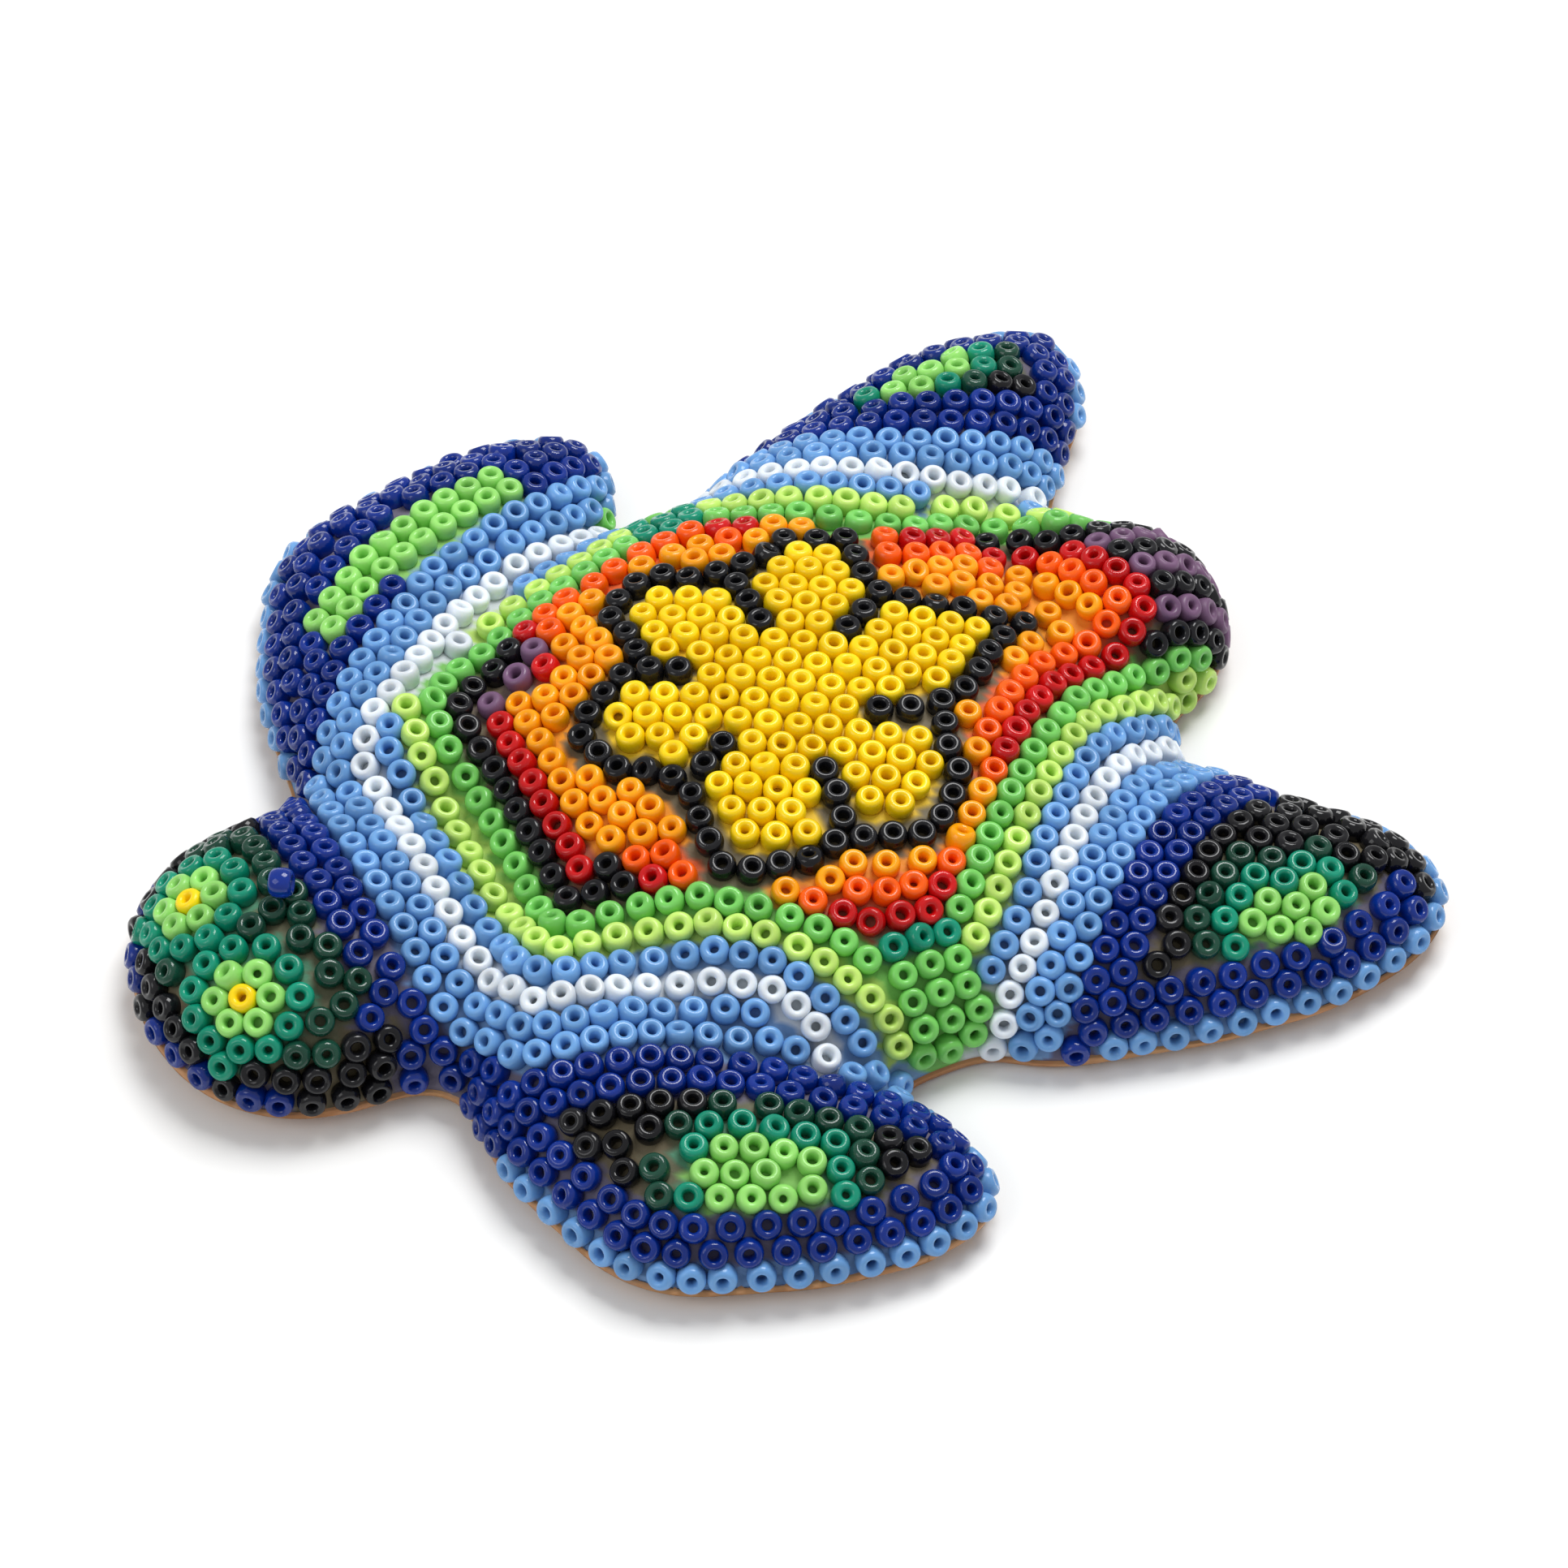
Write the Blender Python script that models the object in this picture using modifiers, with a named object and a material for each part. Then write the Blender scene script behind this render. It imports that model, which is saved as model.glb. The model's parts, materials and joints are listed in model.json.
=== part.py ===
"""A beaded sea turtle: a carved wood core, a coat of beeswax, and fields of glass beads set in the wax.

Metres, +Z up, the origin at the middle of the flat belly. The head points to -Y and the turtle's own
left side is +X. Lengths below are in millimetres and MM turns them into metres.
"""

import math

import bmesh
import bpy
from mathutils import Vector
from mathutils.bvhtree import BVHTree

MM = 0.001

# Layers, measured inwards from the tops of the beads.
BEAD_LAYER = 1.3
WAX_LAYER = 0.8
LAYER_GAP = 0.35
WAX_TOP = BEAD_LAYER + LAYER_GAP
CORE_TOP = WAX_TOP + WAX_LAYER + 0.6
FIELD_GAP = 0.36

# The underside: a flat belly, rising outwards as a shallow cone.
BELLY_RADIUS = 20.0
CONE_RADIUS = 62.0
CONE_RISE = 2.8
SOLE_THICK = 0.7
SOLE_INSET = 0.7
LAYER_FOOT = 1.05
RIM_ROW = 2.95

# One row of beads, across the row.
ROW = 1.92

SKIN_VOXEL = 2.0
SKIN_RATIO = 0.17
CORE_VOXEL = 2.4
CORE_RATIO = 0.3
EQUATOR = 1.0

# Middle blobs: x, y, half width, half length, height of the top, squareness.
MIDDLE = (
    (0.0, -0.4, 25.6, 25.4, 12.3, 2.4),
    (0.0, 9.3, 17.5, 18.5, 10.4, 2.2),
    (-2.2, 27.3, 7.2, 8.2, 9.2, 2.2),
    (0.0, -37.3, 12.1, 12.0, 10.4, 2.2),
    (0.0, -30.8, 13.2, 8.6, 9.5, 2.2),
)

# Flippers as chains of round blobs: x, y, radius, height of the top.
FORE = (
    (12.2, -23.3, 8.8, 10.2),
    (20.2, -21.8, 10.1, 8.8),
    (26.4, -19.2, 10.4, 8.2),
    (29.5, -13.0, 9.1, 7.6),
    (32.4, -8.2, 6.6, 6.8),
    (34.3, -5.0, 4.0, 5.8),
)
HIND = (
    (17.5, 11.6, 12.4, 9.6),
    (20.7, 19.3, 11.6, 8.6),
    (24.3, 25.3, 9.0, 8.2),
    (26.0, 29.8, 6.8, 7.2),
    (27.2, 32.4, 4.6, 6.0),
)
FORE_PIVOT = (18.0, -18.0)
HIND_PIVOT = (14.0, 8.0)
LIMBS = (
    # name, chain, side, turn in degrees, pivot, width factor
    ("fore_left", FORE, 1, -4.0, FORE_PIVOT, 1.0),
    ("fore_right", FORE, -1, 3.2, FORE_PIVOT, 1.0),
    ("hind_left", HIND, 1, 1.8, HIND_PIVOT, 1.0),
    ("hind_right", HIND, -1, -2.4, HIND_PIVOT, 0.9),
)
BLOBS_PER_LINK = 5

# EXACT loses fields where upright cutters graze the steep sides of the thin bead layer,
# so every bead field is cut with MANIFOLD.
FIELD_SOLVER = "MANIFOLD"

# The shell picture, about its own middle line.
PICTURE_X = -1.0
SHELL_CORNER = ((20.16, -1.6), (30.0, -0.55), (30.0, 0.95), (22.3, 1.35), (20.16, 2.2))
PENTAGON = (
    (-8.2, -21.4), (8.2, -21.4), (19.8, -1.6), (19.8, 2.4), (0.0, 28.8), (-19.8, 2.4), (-19.8, -1.6),
)
FLOWER_AT = (-0.5, 1.0)
PETALS = ((90, 17.3), (30, 14.2), (-30, 15.0), (-90, 15.3), (-150, 15.0), (150, 14.2))
PETAL_SHAPE = ((-21, 0.87), (-11, 0.98), (0, 1.0), (11, 0.98), (21, 0.87))
PETAL_NOTCH = 8.0
OUTLINE_NOTCH = 11.7
OUTLINE_ROW = 1.9

# Headings walked outwards over the skin from the pentagon: x, y, degrees, furthest reach in plan.
FREE = 99.0
FRONT_MIDDLE_RAYS = (
    (0.0, -21.4, 270, FREE),
    (4.5, -21.4, 272, FREE),
    (7.4, -21.4, 282, FREE),
    (8.1, -21.2, 295, FREE),
)
FRONT_SIDE_RAYS = (
    (8.4, -21.0, 299, FREE),
    (8.8, -20.3, 312, FREE),
    (10.0, -18.2, 326, FREE),
    (14.0, -11.4, 330, FREE),
    (17.6, -5.2, 329, FREE),
    (19.6, -2.6, 329, FREE),
    (22.8, -1.6, 308.5, 5.4),
    (26.6, -1.2, 266.5, 4.6),
)
REAR_RAYS = (
    (30.0, 1.3, 45, FREE),
    (27.0, 1.3, 45, FREE),
    (23.0, 1.7, 45, FREE),
    (19.6, 3.2, 42, FREE),
    (16.4, 7.2, 38, FREE),
    (11.8, 13.3, 36, FREE),
    (7.4, 19.1, 34, FREE),
    (4.2, 23.4, 31, FREE),
)
TAIL_RAYS = ((3.2, 26.2, 8, FREE), (3.2, 30.0, 0, FREE), (3.2, 40.0, 0, FREE))

# Plan points that close the flippers' zones on their outer side.
FORE_OUTSIDE = (
    (26.4, -6.0), (28.4, -3.6), (33.0, 1.5), (50.0, 6.0),
    (55.0, -25.0), (40.0, -45.0), (15.0, -40.0),
)
HIND_OUTSIDE = ((18.0, 36.0), (22.0, 48.0), (50.0, 48.0), (55.0, 20.0))

# Rows outside the pentagon: name, colour, rows of beads.
BANDS = (
    ("green", "green", 1),
    ("lime", "lime", 1),
    ("sky", "light_blue", 1),
    ("white", "white", 1),
    ("blue", "light_blue", 2),
)
ROOT_ROWS = 2

# Inner panels of the flippers and the parts of a panel, as shares of its size.
FORE_PANEL = (
    (24.6, -24.8), (27.4, -26.4), (30.8, -25.2), (33.6, -21.6), (34.8, -15.4),
    (34.8, -11.2), (33.0, -9.2), (30.2, -10.8), (27.2, -14.2), (25.0, -19.0),
)
FORE_PANEL_AT = (31.2, -17.6)
HIND_PANEL = (
    (18.6, 26.6), (21.2, 30.0), (24.6, 32.8), (28.0, 32.6), (29.6, 27.6),
    (29.8, 20.8), (28.6, 15.4), (26.0, 15.9), (22.8, 19.6), (20.2, 23.0),
)
HIND_PANEL_AT = (27.4, 24.4)
PANEL_PARTS = (("black", "black", 1.0), ("teal", "teal", 0.72), ("light", "light_green", 0.42))
STRIPE = (
    (25.4, -24.6), (27.4, -25.8), (31.6, -20.6), (34.2, -14.2), (34.6, -9.4),
    (32.2, -9.0), (31.2, -13.6), (28.2, -18.8),
)

# Head.
EYE = (4.7, -43.6)
EYE_RING = 3.15
EYE_HOLE = 1.45
BROW_AT = (0.0, -43.3)
BROW = (9.4, 4.9)
STRAY_BEAD = (-1.0, -38.0)

# Tail, about the picture's middle line.
TAIL_PLATE = (
    (2.7, 25.9), (2.75, 29.5), (2.75, 40.0),
    (-2.75, 40.0), (-2.75, 29.5), (-2.7, 25.9), (0.0, 29.4),
)
TAIL_SPLIT = 30.4

# A seed bead: outer radius, hole radius, height.
BEAD_RADIUS = 1.05
BEAD_HOLE = 0.42
BEAD_HEIGHT = 1.2

COLOURS = {
    "yellow": (0.95, 0.60, 0.010),
    "amber": (1.0, 0.33, 0.008),
    "orange": (0.95, 0.13, 0.005),
    "red": (0.55, 0.010, 0.012),
    "black": (0.010, 0.010, 0.013),
    "green": (0.11, 0.56, 0.09),
    "lime": (0.46, 0.78, 0.13),
    "light_blue": (0.15, 0.36, 0.72),
    "white": (0.72, 0.78, 0.84),
    "cobalt": (0.010, 0.022, 0.34),
    "light_green": (0.22, 0.70, 0.14),
    "teal": (0.010, 0.28, 0.16),
    "dark_green": (0.012, 0.09, 0.055),
    "purple": (0.17, 0.085, 0.17),
    "wax": (0.31, 0.27, 0.19),
    "wood": (0.56, 0.36, 0.18),
}
ROUGHNESS = {"wax": 0.5, "wood": 0.6, "purple": 0.35}


def clear_scene():
    for obj in list(bpy.data.objects):
        bpy.data.objects.remove(obj)


def new_collection(name):
    collection = bpy.data.collections.new(name)
    bpy.context.scene.collection.children.link(collection)
    return collection


def make_material(name):
    material = bpy.data.materials.new(name)
    material.use_nodes = True
    shader = material.node_tree.nodes["Principled BSDF"]
    shader.inputs["Base Color"].default_value = (*COLOURS[name], 1.0)
    shader.inputs["Roughness"].default_value = ROUGHNESS.get(name, 0.18)
    material.diffuse_color = (*COLOURS[name], 1.0)
    return material


def place(name, mesh, collection, colour=None):
    obj = bpy.data.objects.new(name, mesh)
    collection.objects.link(obj)
    if colour:
        mesh.materials.clear()
        mesh.materials.append(MATERIALS[colour])
    if collection == CUTTERS:
        obj.hide_render = True
        obj.display_type = "WIRE"
    return obj


def evaluated_mesh(obj, name):
    bpy.context.view_layer.update()
    graph = bpy.context.evaluated_depsgraph_get()
    return bpy.data.meshes.new_from_object(obj.evaluated_get(graph), depsgraph=graph)


def limb_point(x, y, side, turn, pivot):
    """A point of the left-hand drawing turned about the limb's root, on the limb's own side."""
    angle = math.radians(turn)
    dx, dy = x - pivot[0], y - pivot[1]
    turned_x = pivot[0] + dx * math.cos(angle) - dy * math.sin(angle)
    turned_y = pivot[1] + dx * math.sin(angle) + dy * math.cos(angle)
    return side * turned_x, turned_y


def blob_list(inset):
    """Every blob of the body as x, y, half width, half length, top, squareness, shrunk by the inset."""
    blobs = [(x, y, a - inset, b - inset, top - inset, power) for x, y, a, b, top, power in MIDDLE]
    for _, chain, side, turn, pivot, factor in LIMBS:
        for first, second in zip(chain, chain[1:]):
            for i in range(BLOBS_PER_LINK + 1):
                t = i / BLOBS_PER_LINK
                x, y, radius, top = (p * (1 - t) + q * t for p, q in zip(first, second))
                x, y = limb_point(x, y, side, turn, pivot)
                radius = radius * factor - inset
                if radius > 1.4:
                    blobs.append((x, y, radius, radius, top - inset, 2.0))
    return blobs


def body_form(name, inset, voxel, ratio):
    """All the blobs fused into one smooth body, reaching well below the ground."""
    ball = bpy.data.meshes.new("ball")
    round_bm = bmesh.new()
    bmesh.ops.create_uvsphere(round_bm, u_segments=40, v_segments=20, radius=1.0)
    round_bm.to_mesh(ball)
    directions = [vert.co.copy() for vert in round_bm.verts]
    round_bm.free()
    bm = bmesh.new()
    for x, y, half_width, half_length, top, power in blob_list(inset):
        for vert, (a, b, c) in zip(ball.vertices, directions):
            size = (abs(a) ** power + abs(b) ** power + abs(c) ** power) ** (1 / power)
            vert.co = Vector((x + a / size * half_width, y + b / size * half_length,
                              EQUATOR + c / size * (top - EQUATOR))) * MM
        bm.from_mesh(ball)
    mesh = bpy.data.meshes.new(name)
    bm.to_mesh(mesh)
    bm.free()
    obj = place(name, mesh, CUTTERS)
    fuse = obj.modifiers.new("fuse", "REMESH")
    fuse.mode = "VOXEL"
    fuse.voxel_size = voxel * MM
    smooth = obj.modifiers.new("smooth", "SMOOTH")
    smooth.factor = 0.5
    smooth.iterations = 4
    thin = obj.modifiers.new("thin", "DECIMATE")
    thin.ratio = ratio
    return obj


def lathe(name, profile, collection, steps, colour=None):
    """Turns a profile of radius and height, which runs down its outer side, about Z."""
    mesh = bpy.data.meshes.new(name)
    closed = profile[0][0] > 0
    edges = [(i, i + 1) for i in range(len(profile) - 1)]
    if closed:
        edges.append((len(profile) - 1, 0))
    mesh.from_pydata([(r * MM, 0, z * MM) for r, z in profile], edges, [])
    obj = place(name, mesh, collection, colour)
    screw = obj.modifiers.new("turn", "SCREW")
    screw.steps = steps
    screw.render_steps = steps
    screw.use_merge_vertices = True
    screw.merge_threshold = 0.00001
    return obj


def ground_form(name, raised):
    """Everything below the underside, or below a level raised over it."""
    rim = raised + CONE_RISE
    profile = ((0, raised), (BELLY_RADIUS, raised), (CONE_RADIUS, rim), (CONE_RADIUS, -16), (0, -16))
    return lathe(name, profile, CUTTERS, 64)


def prism(name, outline):
    """A tall upright prism over a plan outline."""
    bm = bmesh.new()
    corners = [bm.verts.new((x * MM, y * MM, -8 * MM)) for x, y in outline]
    face = bm.faces.new(corners)
    raised = bmesh.ops.extrude_face_region(bm, geom=[face])["geom"]
    top = [item for item in raised if isinstance(item, bmesh.types.BMVert)]
    bmesh.ops.translate(bm, verts=top, vec=(0, 0, 28 * MM))
    bmesh.ops.recalc_face_normals(bm, faces=bm.faces)
    mesh = bpy.data.meshes.new(name)
    bm.to_mesh(mesh)
    bm.free()
    return place(name, mesh, CUTTERS)


def cut(obj, operation, cutter, solver="EXACT"):
    modifier = obj.modifiers.new(cutter.name, "BOOLEAN")
    modifier.operation = operation
    modifier.object = cutter
    modifier.solver = solver


def height(x, y):
    """Height of the skin over a plan point, or None beside the body."""
    hit = SKIN_TREE.ray_cast(Vector((x, y, 40)) * MM, Vector((0, 0, -1)))[0]
    return hit.z / MM if hit and hit.z > EQUATOR * MM else None


def walk(x, y, heading, limit, distances):
    """Plan points reached over the skin from a start, at rising distances along one heading."""
    step = 0.1
    start_x, start_y = x, y
    dx, dy = math.cos(math.radians(heading)), math.sin(math.radians(heading))
    level = height(x, y) or EQUATOR
    walked, points = 0.0, []
    for distance in distances:
        while walked < distance and math.hypot(x - start_x, y - start_y) < limit + 0.02 * distance:
            x, y = x + dx * step, y + dy * step
            reached = height(x, y) or EQUATOR
            walked += math.hypot(step, reached - level)
            level = reached
        points.append((x, y))
    return points


def in_picture(outline):
    return [(x + PICTURE_X, y) for x, y in outline]


def strip(rays, side, near, far):
    """The outline of the strip between two distances walked along a row of headings."""
    inner, outer = [], []
    for x, y, heading, limit in rays:
        start_x = PICTURE_X + side * x
        turned = heading if side > 0 else 180 - heading
        first, second = walk(start_x, y, turned, limit, (near, far))
        inner.append(first)
        outer.append(second)
    return inner + outer[::-1]


def whole_front(near, far):
    """The strip that runs from one side of the body round the neck to the other side."""
    side_rays = FRONT_SIDE_RAYS[: 8 if far < 3 * ROW else 7 if far < 4 * ROW else 6]
    right = strip(FRONT_MIDDLE_RAYS[1:] + side_rays, 1, near, far)
    left = strip(FRONT_MIDDLE_RAYS + side_rays, -1, near, far)
    half = len(right) // 2
    other = len(left) // 2
    inner = left[:other][::-1] + right[:half]
    outer = right[half:] + left[other:][::-1]
    return inner + outer


def inset_polygon(corners, distance):
    """A convex polygon, counter-clockwise, with every side moved inwards; negative moves them out."""
    lines = []
    for (ax, ay), (bx, by) in zip(corners, corners[1:] + corners[:1]):
        length = math.hypot(bx - ax, by - ay)
        nx, ny = -(by - ay) / length, (bx - ax) / length
        lines.append((nx, ny, nx * ax + ny * ay + distance))
    points = []
    for (a, b, c), (d, e, f) in zip([lines[-1]] + lines[:-1], lines):
        det = a * e - b * d
        points.append(((c * e - b * f) / det, (a * f - c * d) / det))
    return points


def flower(grow, notch):
    """The outline of six petals round the flower's middle, grown or shrunk, with notches between them."""
    points = []
    for axis, tip in sorted(PETALS):
        points.append((axis - 30, notch + grow))
        for turn, share in PETAL_SHAPE:
            points.append((axis + turn, tip * share + grow))
    x, y = FLOWER_AT
    return [(x + r * math.cos(math.radians(a)), y + r * math.sin(math.radians(a))) for a, r in points]


def ellipse(centre, radii, count):
    return [
        (centre[0] + radii[0] * math.cos(2 * math.pi * i / count),
         centre[1] + radii[1] * math.sin(2 * math.pi * i / count))
        for i in range(count)
    ]


def scaled(outline, centre, factor):
    return [
        (centre[0] + (x - centre[0]) * factor, centre[1] + (y - centre[1]) * factor)
        for x, y in outline
    ]


def grown(outline, distance):
    """An outline with every side moved out by a fixed distance."""
    count = len(outline)
    area = sum(outline[i - 1][0] * outline[i][1] - outline[i][0] * outline[i - 1][1] for i in range(count))
    out = math.copysign(distance, area)
    points = []
    for i in range(count):
        (ax, ay), (bx, by), (cx, cy) = outline[i - 1], outline[i], outline[(i + 1) % count]
        first = Vector((by - ay, ax - bx)).normalized()
        second = Vector((cy - by, bx - cx)).normalized()
        middle = (first + second).normalized()
        reach = out / max(middle.dot(first), 0.5)
        points.append((bx + middle.x * reach, by + middle.y * reach))
    return points


def rectangle(x0, y0, x1, y1):
    return [(x0, y0), (x1, y0), (x1, y1), (x0, y1)]


def field(name, colour, keep, remove=()):
    """One field of beads: the bead layer inside every outline kept and outside every one removed.

    A cutter is a plan outline, or a body already made."""
    obj = place(name, BEAD_COAT.copy(), PARTS, colour)
    for i, (operation, shape) in enumerate(
        [("INTERSECT", shape) for shape in keep] + [("DIFFERENCE", shape) for shape in remove]
    ):
        if isinstance(shape, (list, tuple)):
            shape = prism(f"{name}_cut{i}", shape)
        cut(obj, operation, shape, FIELD_SOLVER)
    smooth_shade(obj)
    return obj


def smooth_shade(obj):
    for polygon in obj.data.polygons:
        polygon.use_smooth = True


def seed_bead(name, colour, x, y, lift, tilt=0.0):
    """A single bead with its hole, standing on the wax with its axis along the skin's normal."""
    radius = (BEAD_RADIUS - BEAD_HOLE) / 2
    middle = (BEAD_RADIUS + BEAD_HOLE) / 2
    profile = [
        (middle + radius * math.sin(a), BEAD_HEIGHT / 2 * math.cos(a))
        for a in (math.radians(30 + 60 * i) for i in range(6))
    ]
    obj = lathe(name, profile, PARTS, 12, colour)
    found = SKIN_TREE.ray_cast(Vector((x, y, 40)) * MM, Vector((0, 0, -1)))
    point, normal = found[0], found[1]
    obj.rotation_euler = normal.to_track_quat("Z", "Y").to_euler()
    obj.rotation_euler.rotate_axis("X", math.radians(tilt))
    obj.location = point + normal * lift * MM
    smooth_shade(obj)
    return obj


clear_scene()
PARTS = new_collection("beaded_turtle")
CUTTERS = new_collection("cutters")
CUTTERS.hide_render = True
MATERIALS = {name: make_material(name) for name in COLOURS}

# The skin over the beads' tops, and the same skin drawn on every layer.
skin_form = body_form("skin_form", 0.0, SKIN_VOXEL, SKIN_RATIO)
skin = evaluated_mesh(skin_form, "skin")
SKIN_TREE = BVHTree.FromPolygons([v.co for v in skin.vertices], [p.vertices for p in skin.polygons])

ground = ground_form("ground", 0.0)
ground_foot = ground_form("ground_foot", LAYER_FOOT)
ground_sole = ground_form("ground_sole", SOLE_THICK)
ground_rim = ground_form("ground_rim", RIM_ROW)
ground_over_rim = ground_form("ground_over_rim", RIM_ROW + FIELD_GAP)


def layer(name, inset, thickness, collection, colour=None):
    """The skin moved inwards and given a thickness, open at the foot."""
    obj = place(name, skin.copy(), collection, colour)
    if inset:
        sink = obj.modifiers.new("sink", "DISPLACE")
        sink.strength = -inset * MM
        sink.mid_level = 0.0
    thicken = obj.modifiers.new("thicken", "SOLIDIFY")
    thicken.thickness = thickness * MM
    thicken.offset = -1.0
    cut(obj, "DIFFERENCE", ground_foot)
    return obj


# Carved wood: the core with a thin sole that reaches out under the rim of the beads.
core_form = body_form("core_form", CORE_TOP, CORE_VOXEL, CORE_RATIO)
sole = place("sole", skin.copy(), CUTTERS)
sink = sole.modifiers.new("sink", "DISPLACE")
sink.strength = -SOLE_INSET * MM
sink.mid_level = 0.0
cut(sole, "INTERSECT", ground_sole)
core = place("wood_core", evaluated_mesh(core_form, "wood_core"), PARTS, "wood")
cut(core, "UNION", sole)
cut(core, "DIFFERENCE", ground)
smooth_shade(core)

smooth_shade(layer("wax_coat", WAX_TOP, WAX_LAYER, PARTS, "wax"))
BEAD_COAT = evaluated_mesh(layer("bead_coat", 0.0, BEAD_LAYER, CUTTERS), "bead_coat")

# The picture on the shell.
half_gap = FIELD_GAP / 2
pentagon = list(PENTAGON)
red_outside = [(x, max(y, PENTAGON[0][1] + ROW)) for x, y in pentagon]
slope = (PENTAGON[2][0] - PENTAGON[1][0]) / (PENTAGON[2][1] - PENTAGON[1][1])
red_outside[0] = (PENTAGON[0][0] - slope * ROW, PENTAGON[0][1] + ROW)
red_outside[1] = (PENTAGON[1][0] + slope * ROW, PENTAGON[1][1] + ROW)
orange_outside = inset_polygon(red_outside, ROW)
amber_outside = inset_polygon(orange_outside, ROW)
outline_outside = flower(half_gap, OUTLINE_NOTCH)
outline_inside = flower(half_gap - OUTLINE_ROW, PETAL_NOTCH + OUTLINE_ROW)
yellow_outside = flower(-half_gap - OUTLINE_ROW, PETAL_NOTCH + OUTLINE_ROW)

field("shell_flower_yellow", "yellow", [in_picture(yellow_outside)])
field(
    "shell_flower_outline", "black",
    [in_picture(flower(-half_gap, OUTLINE_NOTCH))],
    [in_picture(outline_inside)],
)
amber_front = prism("amber_front", in_picture(rectangle(-30, -30, 30, -9)))
amber_rear = prism("amber_rear", in_picture(rectangle(-30, 16.5, 30, 40)))
amber_in = prism("amber_in", in_picture(inset_polygon(amber_outside, half_gap)))
amber_out = prism("amber_out", in_picture(inset_polygon(amber_outside, -half_gap)))
around_flower = prism("around_flower", in_picture(outline_outside))
field("shell_amber_front", "amber", [amber_in, amber_front], [around_flower])
field("shell_amber_rear", "amber", [amber_in, amber_rear], [around_flower])
orange = prism("orange_hole", in_picture(inset_polygon(orange_outside, half_gap)))
hole_front = place("hole_front", amber_out.data.copy(), CUTTERS)
front_side = prism("front_side", in_picture(rectangle(-30, -30, 30, -9 + FIELD_GAP)))
cut(hole_front, "INTERSECT", front_side, FIELD_SOLVER)
hole_rear = place("hole_rear", amber_out.data.copy(), CUTTERS)
rear_side = prism("rear_side", in_picture(rectangle(-30, 16.5 - FIELD_GAP, 30, 40)))
cut(hole_rear, "INTERSECT", rear_side, FIELD_SOLVER)
field("shell_orange", "orange", [orange], [around_flower, hole_front, hole_rear])
field(
    "shell_red", "red",
    [in_picture(inset_polygon(red_outside, half_gap))],
    [in_picture(inset_polygon(orange_outside, -half_gap))],
)
first_row = rectangle(-30, -30, 30, PENTAGON[0][1] + ROW - half_gap)
field(
    "shell_black_front", "black",
    [in_picture(inset_polygon(pentagon, half_gap)), in_picture(first_row)],
)

# Rows round the shell, walked over the skin so that each is one bead wide on the surface.
reach = 0.0
for band, colour, rows in BANDS:
    near, far = reach + half_gap, reach + rows * ROW - half_gap
    field(f"{band}_front", colour, [whole_front(near, far)])
    rear_rays = REAR_RAYS + TAIL_RAYS if band in ("green", "lime") else REAR_RAYS
    for side, word in ((1, "left"), (-1, "right")):
        beside_tail = [in_picture(rectangle(-10.7, 20, 10.7, 40))] if band == "blue" else []
        field(f"{band}_rear_{word}", colour, [strip(rear_rays, side, near, far)], beside_tail)
    reach += rows * ROW

def zone_outline(rays, side, near, outside):
    """A limb's zone: past the rows at its root, out to the points given for its left-hand side."""
    inner = strip(rays, side, near, near + 1.0)[: len(rays)]
    return inner + [(PICTURE_X + side * x, y) for x, y in outside]


root_near, root_far = reach + half_gap, reach + ROOT_ROWS * ROW - half_gap
neck = strip(FRONT_MIDDLE_RAYS[1:], 1, root_near, root_far)
neck_left = strip(FRONT_MIDDLE_RAYS, -1, root_near, root_far)
half, other = len(neck) // 2, len(neck_left) // 2
neck_outline = neck_left[:other][::-1] + neck[:half] + neck[half:] + neck_left[other:][::-1]
field("neck_cobalt", "cobalt", [neck_outline])
for side, word in ((1, "left"), (-1, "right")):
    field(f"fore_{word}_root", "cobalt", [strip(FRONT_SIDE_RAYS[:6], side, root_near, root_far)])
    field(f"hind_{word}_root", "cobalt", [strip(REAR_RAYS, side, root_near, root_far)])
    corner = [(side * x, y) for x, y in SHELL_CORNER]
    field(f"shell_corner_{word}", "teal", [in_picture(corner if side > 0 else corner[::-1])])

# Flippers: a light blue row at the foot, cobalt over it, and a nested panel on top.
panels = {"fore": (FORE_PANEL, FORE_PANEL_AT), "hind": (HIND_PANEL, HIND_PANEL_AT)}
limb_start = root_far + FIELD_GAP
for limb, _, side, turn, pivot, _ in LIMBS:
    kind = limb.split("_")[0]
    if kind == "fore":
        rays, outside = FRONT_SIDE_RAYS[:6], FORE_OUTSIDE
    else:
        rays, outside = REAR_RAYS, HIND_OUTSIDE
    zone = prism(f"{limb}_zone", zone_outline(rays, side, limb_start, outside))
    field(f"{limb}_rim", "light_blue", [zone, ground_rim])
    if limb == "fore_right":
        outline, centre = STRIPE, (29.0, -17.0)
        parts = (("stripe", "light_green", 1.0),)
    else:
        (outline, centre), parts = panels[kind], PANEL_PARTS
    turned = [limb_point(x, y, side, turn, pivot) for x, y in outline]
    if side < 0:
        turned = turned[::-1]
    middle = limb_point(*centre, side, turn, pivot)
    field(f"{limb}_cobalt", "cobalt", [zone], [ground_over_rim, grown(turned, FIELD_GAP)])
    for i, (part, colour, share) in enumerate(parts):
        keep, remove = [scaled(turned, middle, share), zone], []
        if i == 0:
            remove.append(ground_over_rim)
        if i + 1 < len(parts):
            remove.append(grown(scaled(turned, middle, parts[i + 1][2]), FIELD_GAP))
        field(f"{limb}_{part}", colour, keep, remove)

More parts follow.
